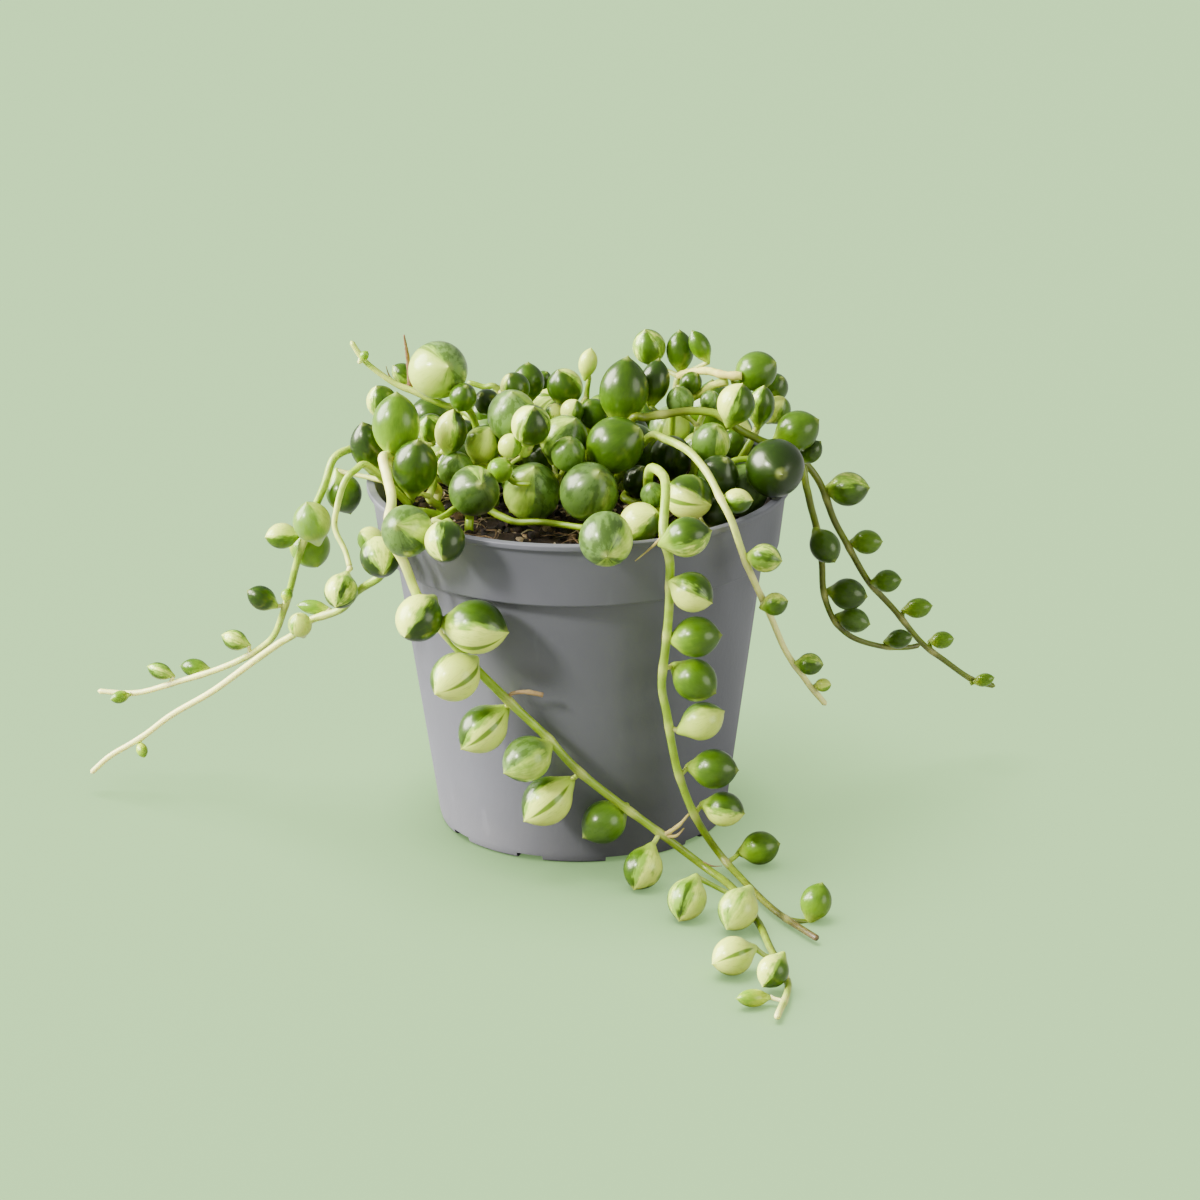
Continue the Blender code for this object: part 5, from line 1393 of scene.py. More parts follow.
def leaf_material(settings):
    """Green skin, darker towards its tip and paler to its neck, partly the leaf's own pale base and partly
    painted shade at the tip end and painted glow of light through the base end, with cream stripes from base
    to tip that have a ragged grey-green border, soft mottling, a lens-shaped clear slit and a dry point."""
    shader = Shader("leaf_skin")
    x, y, z = shader.parts(shader.attribute("place_on_leaf"))
    tone, seed, veil = shader.parts(shader.attribute("leaf_tone"))
    out = shader.math("MAXIMUM", shader.math("SQRT", shader.add(shader.times(x, x), shader.times(y, y))), 0.02)
    round_x, round_y = shader.math("DIVIDE", x, out), shader.math("DIVIDE", y, out)
    shift = shader.times(seed, 37.0)
    streak_place = shader.vector(shader.add(round_x, shift), shader.add(round_y, shift), shader.times(z, 0.22))
    ball_place = shader.vector(shader.add(x, shift), shader.add(y, seed), shader.times(z, 0.55))
    streaks = shader.noise(streak_place, 4.0, 3.0, 0.6)
    fine_streaks = shader.noise(streak_place, 15.0, 2.0, 0.6)
    blotches = shader.noise(ball_place, 2.4, 3.0, 0.55)
    patches = shader.noise(shader.scaled(ball_place, (1.0, 1.0, 1.0), (5.0, 3.0, 1.0)), 2.9, 4.0, 0.6)

    def stripe(name):
        """How far inside a stripe a point lies, as the difference of two cosines."""
        centre_x, centre_y, edge = shader.parts(shader.attribute(name))
        facing = shader.add(shader.times(round_x, centre_x), shader.times(round_y, centre_y))
        return shader.math("SUBTRACT", facing, edge)

    inside = shader.math("MAXIMUM", stripe("cream_first"), stripe("cream_second"))
    ragged = shader.add(shader.times(shader.add(streaks, -0.5), 0.7), shader.times(shader.add(blotches, -0.5), 0.6))
    border = shader.step(shader.add(inside, ragged), -0.20, 0.0)
    uneven = shader.add(shader.times(shader.add(patches, -0.5), 0.8), shader.times(shader.add(streaks, -0.5), 0.8))
    soft = shader.times(veil, 0.3)
    creamy = shader.step(shader.add(inside, uneven, -0.12), shader.add(-0.14, shader.times(soft, -1.0)), shader.add(0.16, soft))

    # Darker towards the tip and paler towards the base: partly the leaf's own pale base, partly painted shade on the
    # tip end and painted glow of light through the base end.
    pale_base_and_painted_tip_shade = shader.step(z, 0.6, -0.95, -0.13, 0.15)
    depth = shader.add(tone, pale_base_and_painted_tip_shade, shader.times(shader.add(blotches, -0.5), 0.30))
    depth = shader.add(depth, shader.times(shader.add(fine_streaks, -0.5), 0.14))
    green = shader.ramp(
        depth,
        (0.0, opaque(darker(settings.leaf_dark, 0.7))),
        (0.2, opaque(settings.leaf_dark)),
        (0.55, opaque(settings.leaf_middle)),
        (0.85, opaque(settings.leaf_light)),
        (1.0, opaque(settings.leaf_yellow)),
    )
    mottle = shader.step(shader.add(patches, shader.times(streaks, 0.4)), 0.62, 0.74)
    haze = shader.times(shader.add(0.35, shader.times(mottle, 0.65)), veil)
    colour = shader.mix(haze, green, opaque(settings.leaf_mist))
    colour = shader.mix(shader.times(border, 0.85), colour, opaque(settings.leaf_band))
    cream = shader.mix(shader.step(tone, 0.6, 1.0, 0.0, 0.35), opaque(settings.cream), opaque(settings.leaf_yellow))
    fading = shader.math("SUBTRACT", 1.0, shader.times(veil, 0.45))
    colour = shader.mix(shader.times(shader.times(creamy, border), fading), colour, cream)
    stained = shader.times(shader.step(fine_streaks, 0.52, 0.70), shader.times(creamy, border))
    colour = shader.mix(shader.times(stained, 0.30), colour, opaque(settings.leaf_band))

    neck = shader.step(shader.add(z, shader.times(shader.add(streaks, -0.5), 0.5)), -0.45, -1.12)
    colour = shader.mix(shader.times(neck, 0.8), colour, opaque(settings.leaf_neck))

    slit_x, slit_y, slit_on = shader.parts(shader.attribute("leaf_slit"))
    beside = shader.math("ABSOLUTE", shader.math("SUBTRACT", shader.times(x, slit_y), shader.times(y, slit_x)))
    facing = shader.add(shader.times(x, slit_x), shader.times(y, slit_y))
    bulge = shader.math("SUBTRACT", 1.0, shader.times(z, z))
    widest = shader.add(0.05, shader.times(creamy, 0.06))
    reach = shader.add(shader.times(bulge, widest), shader.times(shader.add(blotches, -0.5), 0.04))
    line = shader.step(shader.math("SUBTRACT", beside, reach), 0.035, -0.035)
    line = shader.times(shader.times(line, shader.step(facing, 0.0, 0.15)), slit_on)
    line = shader.times(line, shader.add(0.40, shader.times(creamy, 0.55)))
    slit_green = shader.mix(creamy, opaque(darker(settings.leaf_dark, 0.8)), opaque(darker(settings.leaf_light, 0.65)))
    colour = shader.mix(line, colour, slit_green)

    point = shader.step(z, 1.03, 1.12)
    colour = shader.mix(shader.times(point, 0.35), colour, opaque(settings.dry_point))
    specks = shader.step(shader.cells(shader.vector(shader.add(x, shift), y, z), 11.0), 0.09, 0.03)
    colour = shader.mix(shader.times(specks, 0.14), colour, opaque(settings.leaf_mist))

    grain = shader.noise(shader.object_place(), 2600.0, 2.0)
    height = shader.add(shader.times(grain, 0.4), shader.times(fine_streaks, 0.5), shader.times(line, -1.2))
    rough = shader.add(settings.gloss_roughness, shader.times(blotches, 0.10), shader.times(point, 0.3))
    return shader.finish(
        Base_Color=colour,
        Roughness=rough,
        Subsurface_Weight=0.25,
        Subsurface_Radius=(0.8, 1.0, 0.2),
        Subsurface_Scale=0.0014,
        Specular_IOR_Level=0.5,
        Specular_Tint=(0.90, 1.0, 0.62, 1.0),
        Coat_Weight=0.22,
        Coat_Roughness=0.12,
        Normal=shader.bump(height, 0.20, 0.00010),
    )


def stem_material(settings):
    """Stem skin: olive-brown to yellow-green to cream by its tone, ridged, with paler joints."""
    shader = Shader("stem_skin")
    x, y, z = shader.parts(shader.attribute("place_on_leaf"))
    tone, seed, joint = shader.parts(shader.attribute("leaf_tone"))
    place = shader.object_place()
    patches = shader.noise(place, 420.0, 3.0)
    ridges = shader.noise(shader.vector(shader.add(x, seed), y, shader.times(z, 3.0)), 4.0, 3.0)
    depth = shader.add(tone, shader.times(shader.add(patches, -0.5), 0.4), shader.times(ridges, 0.1))
    colour = shader.ramp(
        depth,
        (0.05, opaque(settings.stem_brown)),
        (0.35, opaque(settings.stem_olive)),
        (0.62, opaque(settings.stem_green)),
        (0.95, opaque(settings.stem_cream)),
    )
    colour = shader.mix(shader.times(joint, 0.28), colour, opaque(settings.stem_cream))
    freckles = shader.times(shader.step(shader.noise(place, 900.0, 2.0), 0.68, 0.74), shader.step(patches, 0.5, 0.6))
    colour = shader.mix(shader.times(freckles, 0.6), colour, opaque(settings.stem_brown))
    height = shader.add(ridges, shader.times(shader.noise(place, 1900.0, 2.0), 0.4))
    return shader.finish(
        Base_Color=colour,
        Roughness=0.36,
        Subsurface_Weight=0.5,
        Subsurface_Radius=(0.9, 1.0, 0.4),
        Subsurface_Scale=0.0010,
        Normal=shader.bump(height, 0.3, 0.00010),
    )


def pot_material(settings):
    """Moulded matte plastic: fine grain, faint scuffs, a little dust near the foot."""
    shader = Shader("pot_plastic")
    place = shader.object_place()
    grain = shader.noise(place, 1400.0, 2.0)
    clouds = shader.noise(place, 70.0, 4.0)
    turned = shader.noise(shader.scaled(place, (1.0, 1.0, 14.0)), 40.0, 3.0)
    scuffs = shader.step(shader.noise(shader.scaled(place, (1.0, 1.0, 0.25)), 520.0, 3.0), 0.62, 0.74)
    base = settings.plastic
    colour = shader.mix(clouds, opaque(darker(base, 0.90)), opaque(darker(base, 1.10)))
    colour = shader.mix(shader.times(scuffs, 0.18), colour, opaque(darker(base, 1.5)))
    _, _, height = shader.parts(place)
    dust = shader.times(shader.step(height, 0.012, 0.0), shader.noise(place, 260.0, 4.0))
    colour = shader.mix(shader.times(dust, 0.35), colour, opaque(settings.dust))
    rough = shader.add(settings.roughness, shader.times(clouds, 0.12), shader.times(scuffs, 0.1))
    relief = shader.add(grain, shader.times(turned, 0.5))
    return shader.finish(Base_Color=colour, Roughness=rough, Normal=shader.bump(relief, 0.25, 0.00008))


def soil_material(settings, name, dark, light, scale):
    shader = Shader(name)
    place = shader.object_place()
    mottle = shader.noise(place, scale, 5.0, 0.65)
    colour = shader.ramp(mottle, (0.30, opaque(dark)), (0.70, opaque(light)))
    relief = shader.noise(place, scale * 3.0, 4.0, 0.7)
    return shader.finish(
        Base_Color=colour,
        Roughness=settings.roughness,
        Normal=shader.bump(relief, 0.7, 0.0004),
    )


def crumb_material(settings):
    """Lumps from peat to brown, and bits of wood and fibre up to straw, by the tone of each."""
    shader = Shader("crumbs")
    tone, _, _ = shader.parts(shader.attribute("leaf_tone"))
    place = shader.object_place()
    mottle = shader.noise(place, 1500.0, 3.0, 0.6)
    depth = shader.add(tone, shader.times(shader.add(mottle, -0.5), 0.3))
    colour = shader.ramp(
        depth,
        (0.05, opaque(settings.dark)),
        (0.40, opaque(settings.light)),
        (0.70, opaque(settings.fibre)),
        (1.0, opaque(settings.straw)),
    )
    return shader.finish(
        Base_Color=colour, Roughness=settings.roughness, Normal=shader.bump(mottle, 0.5, 0.0001)
    )


def dried_material(settings):
    """Dried skin, from red-brown over tan to straw by its tone, wrinkled lengthways."""
    shader = Shader("dried_skin")
    x, y, z = shader.parts(shader.attribute("place_on_leaf"))
    tone, seed, _ = shader.parts(shader.attribute("leaf_tone"))
    ridges = shader.noise(shader.vector(shader.add(x, seed), y, shader.times(z, 2.0)), 5.0, 3.0)
    patches = shader.noise(shader.object_place(), 700.0, 3.0)
    depth = shader.add(tone, shader.times(shader.add(patches, -0.5), 0.5), shader.times(shader.add(ridges, -0.5), 0.3))
    colour = shader.ramp(
        depth,
        (0.0, opaque(settings.dried_brown)),
        (0.4, opaque(settings.dried_tan)),
        (0.7, opaque(settings.dried_straw)),
        (1.0, opaque(settings.stem_green)),
    )
    return shader.finish(Base_Color=colour, Roughness=0.7, Normal=shader.bump(ridges, 0.6, 0.0001))


def ground_material(settings):
    """Sage to look at, with faint shadows because part of the sage is its own light, and grey to what
    stands on it, so that it throws neither green nor that light up onto the pot. Its own light is dimmed
    where ambient occlusion finds things close by: a painted contact shadow round what stands on it."""
    shader = Shader("sage_ground")
    clouds = shader.noise(shader.object_place(), 3.0, 3.0)
    colour = shader.mix(clouds, opaque(darker(settings.ground, 0.985)), opaque(darker(settings.ground, 1.015)))
    looked_at = shader.node("ShaderNodeLightPath", {}).outputs["Is Camera Ray"]
    # Painted contact shadow: the ground's own light is dimmed where ambient occlusion finds things close by.
    painted_contact_shade = shader.node("ShaderNodeAmbientOcclusion", {"Distance": SHADE_REACH}, samples=2).outputs["AO"]
    shade = shader.add(1.0 - SHADE_SHARE, shader.times(painted_contact_shade, SHADE_SHARE))
    own = shader.times(shader.times(looked_at, GROUND_OWN_LIGHT), shade)
    colour = shader.mix(looked_at, opaque(settings.bounce), shader.mix(GROUND_OWN_LIGHT, colour, (0, 0, 0, 1)))
    glow = opaque(darker(settings.ground, GROUND_LIT))
    return shader.finish(Base_Color=colour, Roughness=0.9, Emission_Color=glow, Emission_Strength=own)


GROUND_OWN_LIGHT = 0.5
GROUND_LIT = 2.13
SHADE_REACH = 0.009
SHADE_SHARE = 0.7


# Pot and soil

POT_AROUND = 180
BEND_STEPS = 5
LIP_BEND = 0.22
COLLAR_BEND = 0.35
FOOT_BEND = 0.5
SOIL_AROUND, SOIL_ACROSS = 150, 64
CLOD_HEIGHT = 0.5
CLOD_SINK = 0.45
CLOD_SIZE = 3.4
CLOD_SEED = 3
CRUMBS = 1500
CRUMB_SIZE = (0.16, 0.85)
CRUMB_INSET = 0.9
CRUMB_EDGE_ANGLE = 30
FIBRES = 240
FIBRE_STEPS = 9
FIBRE_HALF = (0.8, 3.2)
FIBRE_LIFT = (0.0, 0.9)
FIBRE_RADIUS = (0.06, 0.17)


def rounded(corners):
    """An outline of (distance from the axis, height, bend): each bend is a curve through its corner's
    two neighbours' ways, from one tangent point to the other."""
    points = []
    for index, (out, height, bend) in enumerate(corners):
        corner = np.array((out, height))
        if bend == 0 or index in (0, len(corners) - 1):
            points.append(corner)
            continue
        back = np.array(corners[index - 1][:2]) - corner
        on = np.array(corners[index + 1][:2]) - corner
        start = corner + back * min(bend / np.linalg.norm(back), 0.45)
        stop = corner + on * min(bend / np.linalg.norm(on), 0.45)
        for share in np.linspace(0.0, 1.0, BEND_STEPS):
            points.append((1 - share) ** 2 * start + 2 * share * (1 - share) * corner + share**2 * stop)
    return np.array(points)


def lathe(name, outline, around):
    """An outline of (distance from the axis, height) turned round the axis. It starts and ends on it."""
    turn = np.arange(around) * 2 * math.pi / around
    inner = outline[1:-1]
    rings = np.stack(
        (
            inner[:, :1] * np.cos(turn),
            inner[:, :1] * np.sin(turn),
            np.broadcast_to(inner[:, 1:], (len(inner), around)),
        ),
        axis=-1,
    )
    skin = Skin()
    ends = [np.array((0.0, 0.0, outline[index, 1])) for index in (0, -1)]
    skin.add(rings, *ends, 0)
    return skin


def pot_outline():
    """Up the outside from the middle of the base, over the thin lip and down the inside."""
    lip_foot = RIM_HEIGHT - LIP_THICKNESS
    return rounded(
        (
            (0, 0, 0),
            (FOOT_RADIUS, 0, 0.1),
            (FOOT_RADIUS + 0.45, 0.25, 0.15),
            (FOOT_RADIUS + 0.7, 1.1, 0.4),
            (BODY_FOOT_RADIUS, BODY_FOOT_HEIGHT, 1.0),
            (BODY_TOP_RADIUS, COLLAR_FOOT_HEIGHT - 0.2, FOOT_BEND),
            (COLLAR_FOOT_RADIUS, COLLAR_FOOT_HEIGHT, COLLAR_BEND),
            (COLLAR_TOP_RADIUS, lip_foot, 0.12),
            (RIM_RADIUS, lip_foot + 0.08, LIP_BEND),
            (RIM_RADIUS, RIM_HEIGHT, LIP_BEND),
            (RIM_RADIUS - 1.25, RIM_HEIGHT, LIP_BEND),
            (COLLAR_TOP_RADIUS - WALL, lip_foot - 0.6, 0.2),
            (COLLAR_FOOT_RADIUS - WALL, COLLAR_FOOT_HEIGHT + WALL, 0.3),
            (BODY_TOP_RADIUS - WALL, COLLAR_FOOT_HEIGHT - 0.4, 0.3),
            (BODY_FOOT_RADIUS - WALL, BODY_FOOT_HEIGHT, 1.0),
            (INNER_FOOT_RADIUS, BASE_THICKNESS, 0.5),
            (0, BASE_THICKNESS, 0),
        )
    )


def cut_away(piece, cutters):
    """One Boolean that takes the cutters out of the piece, applied."""
    holder = bpy.data.collections.new(piece.name + "_cutters")
    bpy.context.scene.collection.children.link(holder)
    for cutter in cutters:
        for old in list(cutter.users_collection):
            old.objects.unlink(cutter)
        holder.objects.link(cutter)
    boolean = piece.modifiers.new("cut", "BOOLEAN")
    boolean.operation = "DIFFERENCE"
    boolean.operand_type = "COLLECTION"
    boolean.collection = holder
    boolean.solver = "EXACT"
    bpy.context.view_layer.update()
    graph = bpy.context.evaluated_depsgraph_get()
    cut = bpy.data.meshes.new_from_object(piece.evaluated_get(graph))
    piece.modifiers.clear()
    piece.data = cut
    for cutter in cutters:
        bpy.data.objects.remove(cutter)
    bpy.data.collections.remove(holder)


def foot_cutters():
    """Blocks for the foot's notches and rods for its drains, all round the foot."""
    cutters = []
    for number in range(NOTCH_COUNT):
        angle = NOTCH_FIRST + number * 2 * math.pi / NOTCH_COUNT - math.pi / 2
        length = BODY_FOOT_RADIUS + CUTTER_SPARE - NOTCH_INNER_RADIUS
        middle = NOTCH_INNER_RADIUS + length / 2
        bpy.ops.mesh.primitive_cube_add(size=1)
        notch = bpy.context.object
        notch.scale = (length * MM, NOTCH_WIDTH * MM, 2 * NOTCH_HEIGHT * MM)
        notch.location = (middle * math.cos(angle) * MM, middle * math.sin(angle) * MM, 0)
        notch.rotation_euler = (0, 0, angle)
        bpy.ops.mesh.primitive_cylinder_add(
            vertices=DRAIN_SIDES, radius=DRAIN_RADIUS * MM, depth=DRAIN_ROD * MM
        )
        drain = bpy.context.object
        drain.location = (DRAIN_PLACE * math.cos(angle) * MM, DRAIN_PLACE * math.sin(angle) * MM, 0)
        cutters += [notch, drain]
    return cutters


def soil_height(x, y):
    """A gently uneven top, SOIL_RELIEF up and down."""
    return SOIL_TOP + SOIL_RELIEF * (np.sin(0.31 * x + 0.9) * np.cos(0.27 * y - 0.4))


def wavy(points, size, seed, octaves=3):
    """Smooth unevenness from -1 to 1: sums of sines across seeded directions, finer and weaker in turn."""
    draw = np.random.default_rng(seed)
    total, weight = np.zeros(len(points)), 0.0
    for octave in range(octaves):
        for _ in range(6):
            way = draw.normal(size=3)
            way *= 2 * math.pi * 2**octave / (size * np.linalg.norm(way))
            total += np.sin(points @ way + draw.uniform(0, 6.3)) * 0.6**octave
        weight += 2.4 * 0.6**octave
    return np.clip(total / weight, -1, 1)


# What a user may change


def colour_setting(name, description, default):
    return bpy.props.FloatVectorProperty(
        name=name, description=description, default=default, size=3, min=0.0, max=1.0, subtype="COLOR"
    )


def share_setting(name, description, default, high=1.0):
    return bpy.props.FloatProperty(
        name=name, description=description, default=default, min=0.0, max=high, subtype="FACTOR"
    )


class MELONS_PG_plant(bpy.types.PropertyGroup):
    """Colours and gloss of the leaves and stems."""

    leaf_dark: colour_setting("Dark Green", "Green of the darkest leaves", (0.015, 0.041, 0.001))
    leaf_middle: colour_setting("Middle Green", "Green of most leaves", (0.066, 0.152, 0.002))
    leaf_light: colour_setting("Light Green", "Green of young leaves", (0.190, 0.37, 0.004))
    leaf_yellow: colour_setting("Yellow Green", "Green of the tips of young shoots", (0.45, 0.60, 0.015))
    leaf_mist: colour_setting("Mist", "Grey-green of mottled leaves", (0.19, 0.33, 0.07))
    leaf_band: colour_setting("Band", "Grey-green between green and cream", (0.25, 0.45, 0.03))
    leaf_neck: colour_setting("Neck", "The pale neck of a leaf", (0.52, 0.74, 0.06))
    cream: colour_setting("Cream", "Cream of the stripes", (0.78, 0.91, 0.14))
    dry_point: colour_setting("Point", "The dry point of a leaf", (0.36, 0.42, 0.07))
    stem_brown: colour_setting("Stem Brown", "Old stems", (0.12, 0.085, 0.03))
    stem_olive: colour_setting("Stem Olive", "Stems that hang", (0.135, 0.17, 0.008))
    stem_green: colour_setting("Stem Green", "Stems that grow", (0.30, 0.47, 0.010))
    stem_cream: colour_setting("Stem Cream", "Pale stems and shoots", (1.0, 0.97, 0.30))
    dried_brown: colour_setting("Dried Brown", "Withered points and roots", (0.14, 0.055, 0.025))
    dried_tan: colour_setting("Dried Tan", "Bare roots in the air", (0.42, 0.27, 0.11))
    dried_straw: colour_setting("Dried Straw", "Withered stalks", (0.88, 0.78, 0.16))
    gloss_roughness: share_setting("Leaf Roughness", "How matte the leaves are", 0.25)


class MELONS_PG_pot(bpy.types.PropertyGroup):
    """The pot's plastic."""

    plastic: colour_setting("Plastic", "Grey of the pot", (0.128, 0.129, 0.142))
    dust: colour_setting("Dust", "Dust near the foot", (0.20, 0.19, 0.175))
    roughness: share_setting("Roughness", "How matte the plastic is", 0.42)


class MELONS_PG_soil(bpy.types.PropertyGroup):
    """The soil's colours and grain."""

    dark: colour_setting("Peat", "Dark peat", (0.010, 0.006, 0.003))
    light: colour_setting("Crumbs", "Lighter crumbs", (0.055, 0.032, 0.015))
    fibre: colour_setting("Fibre", "Fibres and bits of wood", (0.26, 0.16, 0.07))
    straw: colour_setting("Straw", "The palest bits", (0.62, 0.50, 0.30))
    roughness: share_setting("Roughness", "How matte the soil is", 0.92)


class MELONS_PG_stage(bpy.types.PropertyGroup):
    """Ground, lights and camera."""

    ground: colour_setting("Ground", "Sage green ground", (0.42, 0.72, 0.29))
    bounce: colour_setting("Bounce", "What the ground throws back onto the pot", (0.42, 0.43, 0.40))
    key_light: bpy.props.FloatProperty(
        name="Key Light", description="Power of the soft light from the upper left", default=290.0, min=0.0, unit="POWER"
    )
    second_light: bpy.props.FloatProperty(
        name="Second Light", description="Power of the small light before the key", default=58.0, min=0.0, unit="POWER"
    )
    fill_light: bpy.props.FloatProperty(
        name="Fill Light", description="Power of the weak light from the right", default=14.0, min=0.0, unit="POWER"
    )
    ground_light: bpy.props.FloatProperty(
        name="Ground Light", description="Power of the light that only the ground takes", default=258.0, min=0.0, unit="POWER"
    )
    sky: share_setting("Sky", "Strength of the light from all round", 0.46, 5.0)


def grow_plant():
    plant = Plant()
    plant.grow_shown()
    plant.grow_hanging()
    plant.grow_creeping()
    return plant


class MELONS_OT_stems(bpy.types.Operator):
    """Add the leafy stems, one piece each, in place of their solids, and their dried bits"""

    bl_idname = "melons.add_stems"
    bl_label = "Add Leafy Stems"

    def execute(self, context):
        settings = context.scene.melons_plant
        materials = [leaf_material(settings), stem_material(settings)]
        plant = grow_plant()
        tones_of = {plan.name: plan.tones for plan in TRAILING + HEAPED}
        draw = random.Random(SEED)
        for name, chain, width, leaves in zip(plant.names, plant.chains, plant.widths, plant.leaves):
            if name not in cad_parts:
                raise RuntimeError(f"the frame has no node for {name}")
            skin = Skin()
            tones = tones_of.get(name, HIDDEN_TONES)
            feet = [int(np.linalg.norm(chain - grown.stalk[-1], axis=1).argmin()) for grown in leaves]
            stem_skin(skin, chain, width, feet, tones, draw)
            for grown, foot in zip(leaves, feet):
                if grown.look is None:
                    grown = grown._replace(look=drawn_look(draw))
                neck = neck_of(grown, chain[foot])
                leaf_skin(skin, grown, neck, draw)
                tone = min(1.0, tones_at(tones, chain)[foot] + PALER_STALK)
                stalk_skin(skin, grown, chain[foot], neck, tone, draw)
            piece = skin.made(f"leafy_{name}", materials)
            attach(piece, "root")
            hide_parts(name)
        add_bits(dict(zip(plant.names, plant.chains)), settings)
        return {"FINISHED"}


def bit_path(bit, chain):
    """From the nearest place on its stem through its spots, each as far behind as that place and more."""
    near = np.linalg.norm(pixels_of(chain) - bit.spots[0][:2], axis=1).argmin()
    foot = chain[near]
    spots = [seen_behind(px, py, foot[1] + further) for px, py, further in bit.spots]
    return smooth_chain(np.array([foot, *spots]), SKIN_STEP)


def add_bits(chains, settings):
    """The withered stalks and bare roots, in one piece."""
    draw = random.Random(SEED)
    skin = Skin()
    for bit in BITS:
        path = bit_path(bit, chains[bit.stem])
        radii = np.linspace(*bit.widths, len(path)) / 2
        radii *= [draw.uniform(0.85, 1.15) for _ in path]
        tube_skin(skin, path, radii, STALK_AROUND, bit.tone, draw.uniform(0, 1), 0.0, kind=0)
    piece = skin.made("dried_bits", [dried_material(settings)])
    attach(piece, "root")


class MELONS_OT_pot(bpy.types.Operator):
    """Add the nursery pot in place of its solid"""

    bl_idname = "melons.add_pot"
    bl_label = "Add Pot"

    def execute(self, context):
        pot = lathe("pot", pot_outline(), POT_AROUND).made("nursery_pot", [])
        cut_away(pot, foot_cutters())
        pot.data.shade_smooth()
        pot.data.set_sharp_from_angle(angle=math.radians(35))
        pot.data.materials.clear()
        pot.data.materials.append(pot_material(context.scene.melons_pot))
        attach(pot, "root")
        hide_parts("pot")
        return {"FINISHED"}


class MELONS_OT_soil(bpy.types.Operator):
    """Add the soil's crumbly top in place of its solid"""

    bl_idname = "melons.add_soil"
    bl_label = "Add Soil"

    def execute(self, context):
        settings = context.scene.melons_soil
        skin = lathe("soil", soil_outline(), SOIL_AROUND)
        crumbled(skin)
        soil = skin.made("potting_soil", [soil_material(settings, "peat", settings.dark, settings.light, 500.0)])
        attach(soil, "root")
        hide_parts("soil")
        draw = np.random.default_rng(SEED)
        bits = Skin()
        add_crumbs(bits, draw)
        add_fibres(bits, draw)
        crumbs = bits.made("soil_crumbs", [crumb_material(settings)])
        crumbs.data.set_sharp_from_angle(angle=math.radians(CRUMB_EDGE_ANGLE))
        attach(crumbs, "root")
        return {"FINISHED"}


def soil_outline():
    """From the middle of the plug's base, up the wall, and over the top to its middle."""
    bottom = BASE_THICKNESS + SOIL_GAP
    side = [
        (0.0, bottom),
        (INNER_FOOT_RADIUS - SOIL_GAP, bottom),
        (BODY_FOOT_RADIUS - WALL - SOIL_GAP, BODY_FOOT_HEIGHT),
        (BODY_TOP_RADIUS - WALL - SOIL_GAP, COLLAR_FOOT_HEIGHT - 0.4),
        (COLLAR_FOOT_RADIUS - WALL - SOIL_GAP, COLLAR_FOOT_HEIGHT + WALL + 0.4),
    ]
    top = [(soil_edge() * share, SOIL_TOP) for share in np.linspace(1.0, 0.0, SOIL_ACROSS)]
    return np.array(side + top)


def crumbly_height(x, y):
    """The height of the soil's top: its gentle relief, lowered, plus sums of sines for the clods."""
    places = np.stack((x, y, np.zeros_like(x)), axis=1)
    return soil_height(x, y) - CLOD_SINK + CLOD_HEIGHT * wavy(places, CLOD_SIZE, CLOD_SEED, 4)


def crumbled(skin):
    """Sinks and lifts the points of the top, so that it looks crumbly."""
    for points in skin.points:
        top = points[:, 2] > SOIL_TOP - 0.01
        points[top, 2] = crumbly_height(points[top, 0], points[top, 1])


def soil_edge():
    """How far the soil's top reaches, at its own height on the pot's sloping wall."""
    slope = (COLLAR_TOP_RADIUS - COLLAR_FOOT_RADIUS) / (RIM_HEIGHT - COLLAR_FOOT_HEIGHT)
    return COLLAR_FOOT_RADIUS - WALL - SOIL_GAP + slope * (SOIL_TOP - COLLAR_FOOT_HEIGHT - 1.4)


def scattered(draw, count):
    """Places spread evenly over the soil's top, as x and y."""
    out = (soil_edge() - CRUMB_INSET) * np.sqrt(draw.uniform(0, 1, count))
    turn = draw.uniform(0, 2 * math.pi, count)
    return out * np.cos(turn), out * np.sin(turn)


def add_crumbs(skin, draw):
    """Lumps on the soil: each is two rings of five corners between two ends, pulled out of true."""
    x, y = scattered(draw, CRUMBS)
    turn = np.arange(5) * 2 * math.pi / 5
    for place_x, place_y, place_z in zip(x, y, crumbly_height(x, y)):
        size = CRUMB_SIZE[0] + (CRUMB_SIZE[1] - CRUMB_SIZE[0]) * draw.uniform(0, 1) ** 3
        middle = np.array((place_x, place_y, place_z + size * 0.3))
        way = unit(draw.normal(size=3))
        side = unit(np.cross(way, draw.normal(size=3)))
        over = np.cross(way, side)
        ring = np.cos(turn)[:, None] * side + np.sin(turn)[:, None] * over
        rings = np.stack([ring + way * 0.45 * end for end in (-1, 1)]) * draw.uniform(0.65, 1.2, (2, 5, 1))
        ends = [middle + way * size * end * draw.uniform(0.7, 1.3) for end in (-1, 1)]
        pale = draw.uniform(0, 1)
        tone = pale * 0.35 if pale < 0.8 else (pale - 0.8) * 3 + 0.4
        value = np.broadcast_to((tone, 0.0, 0.0), (2, 5, 3))
        skin.add(middle + rings * size, *ends, 0, leaf_tone=value)


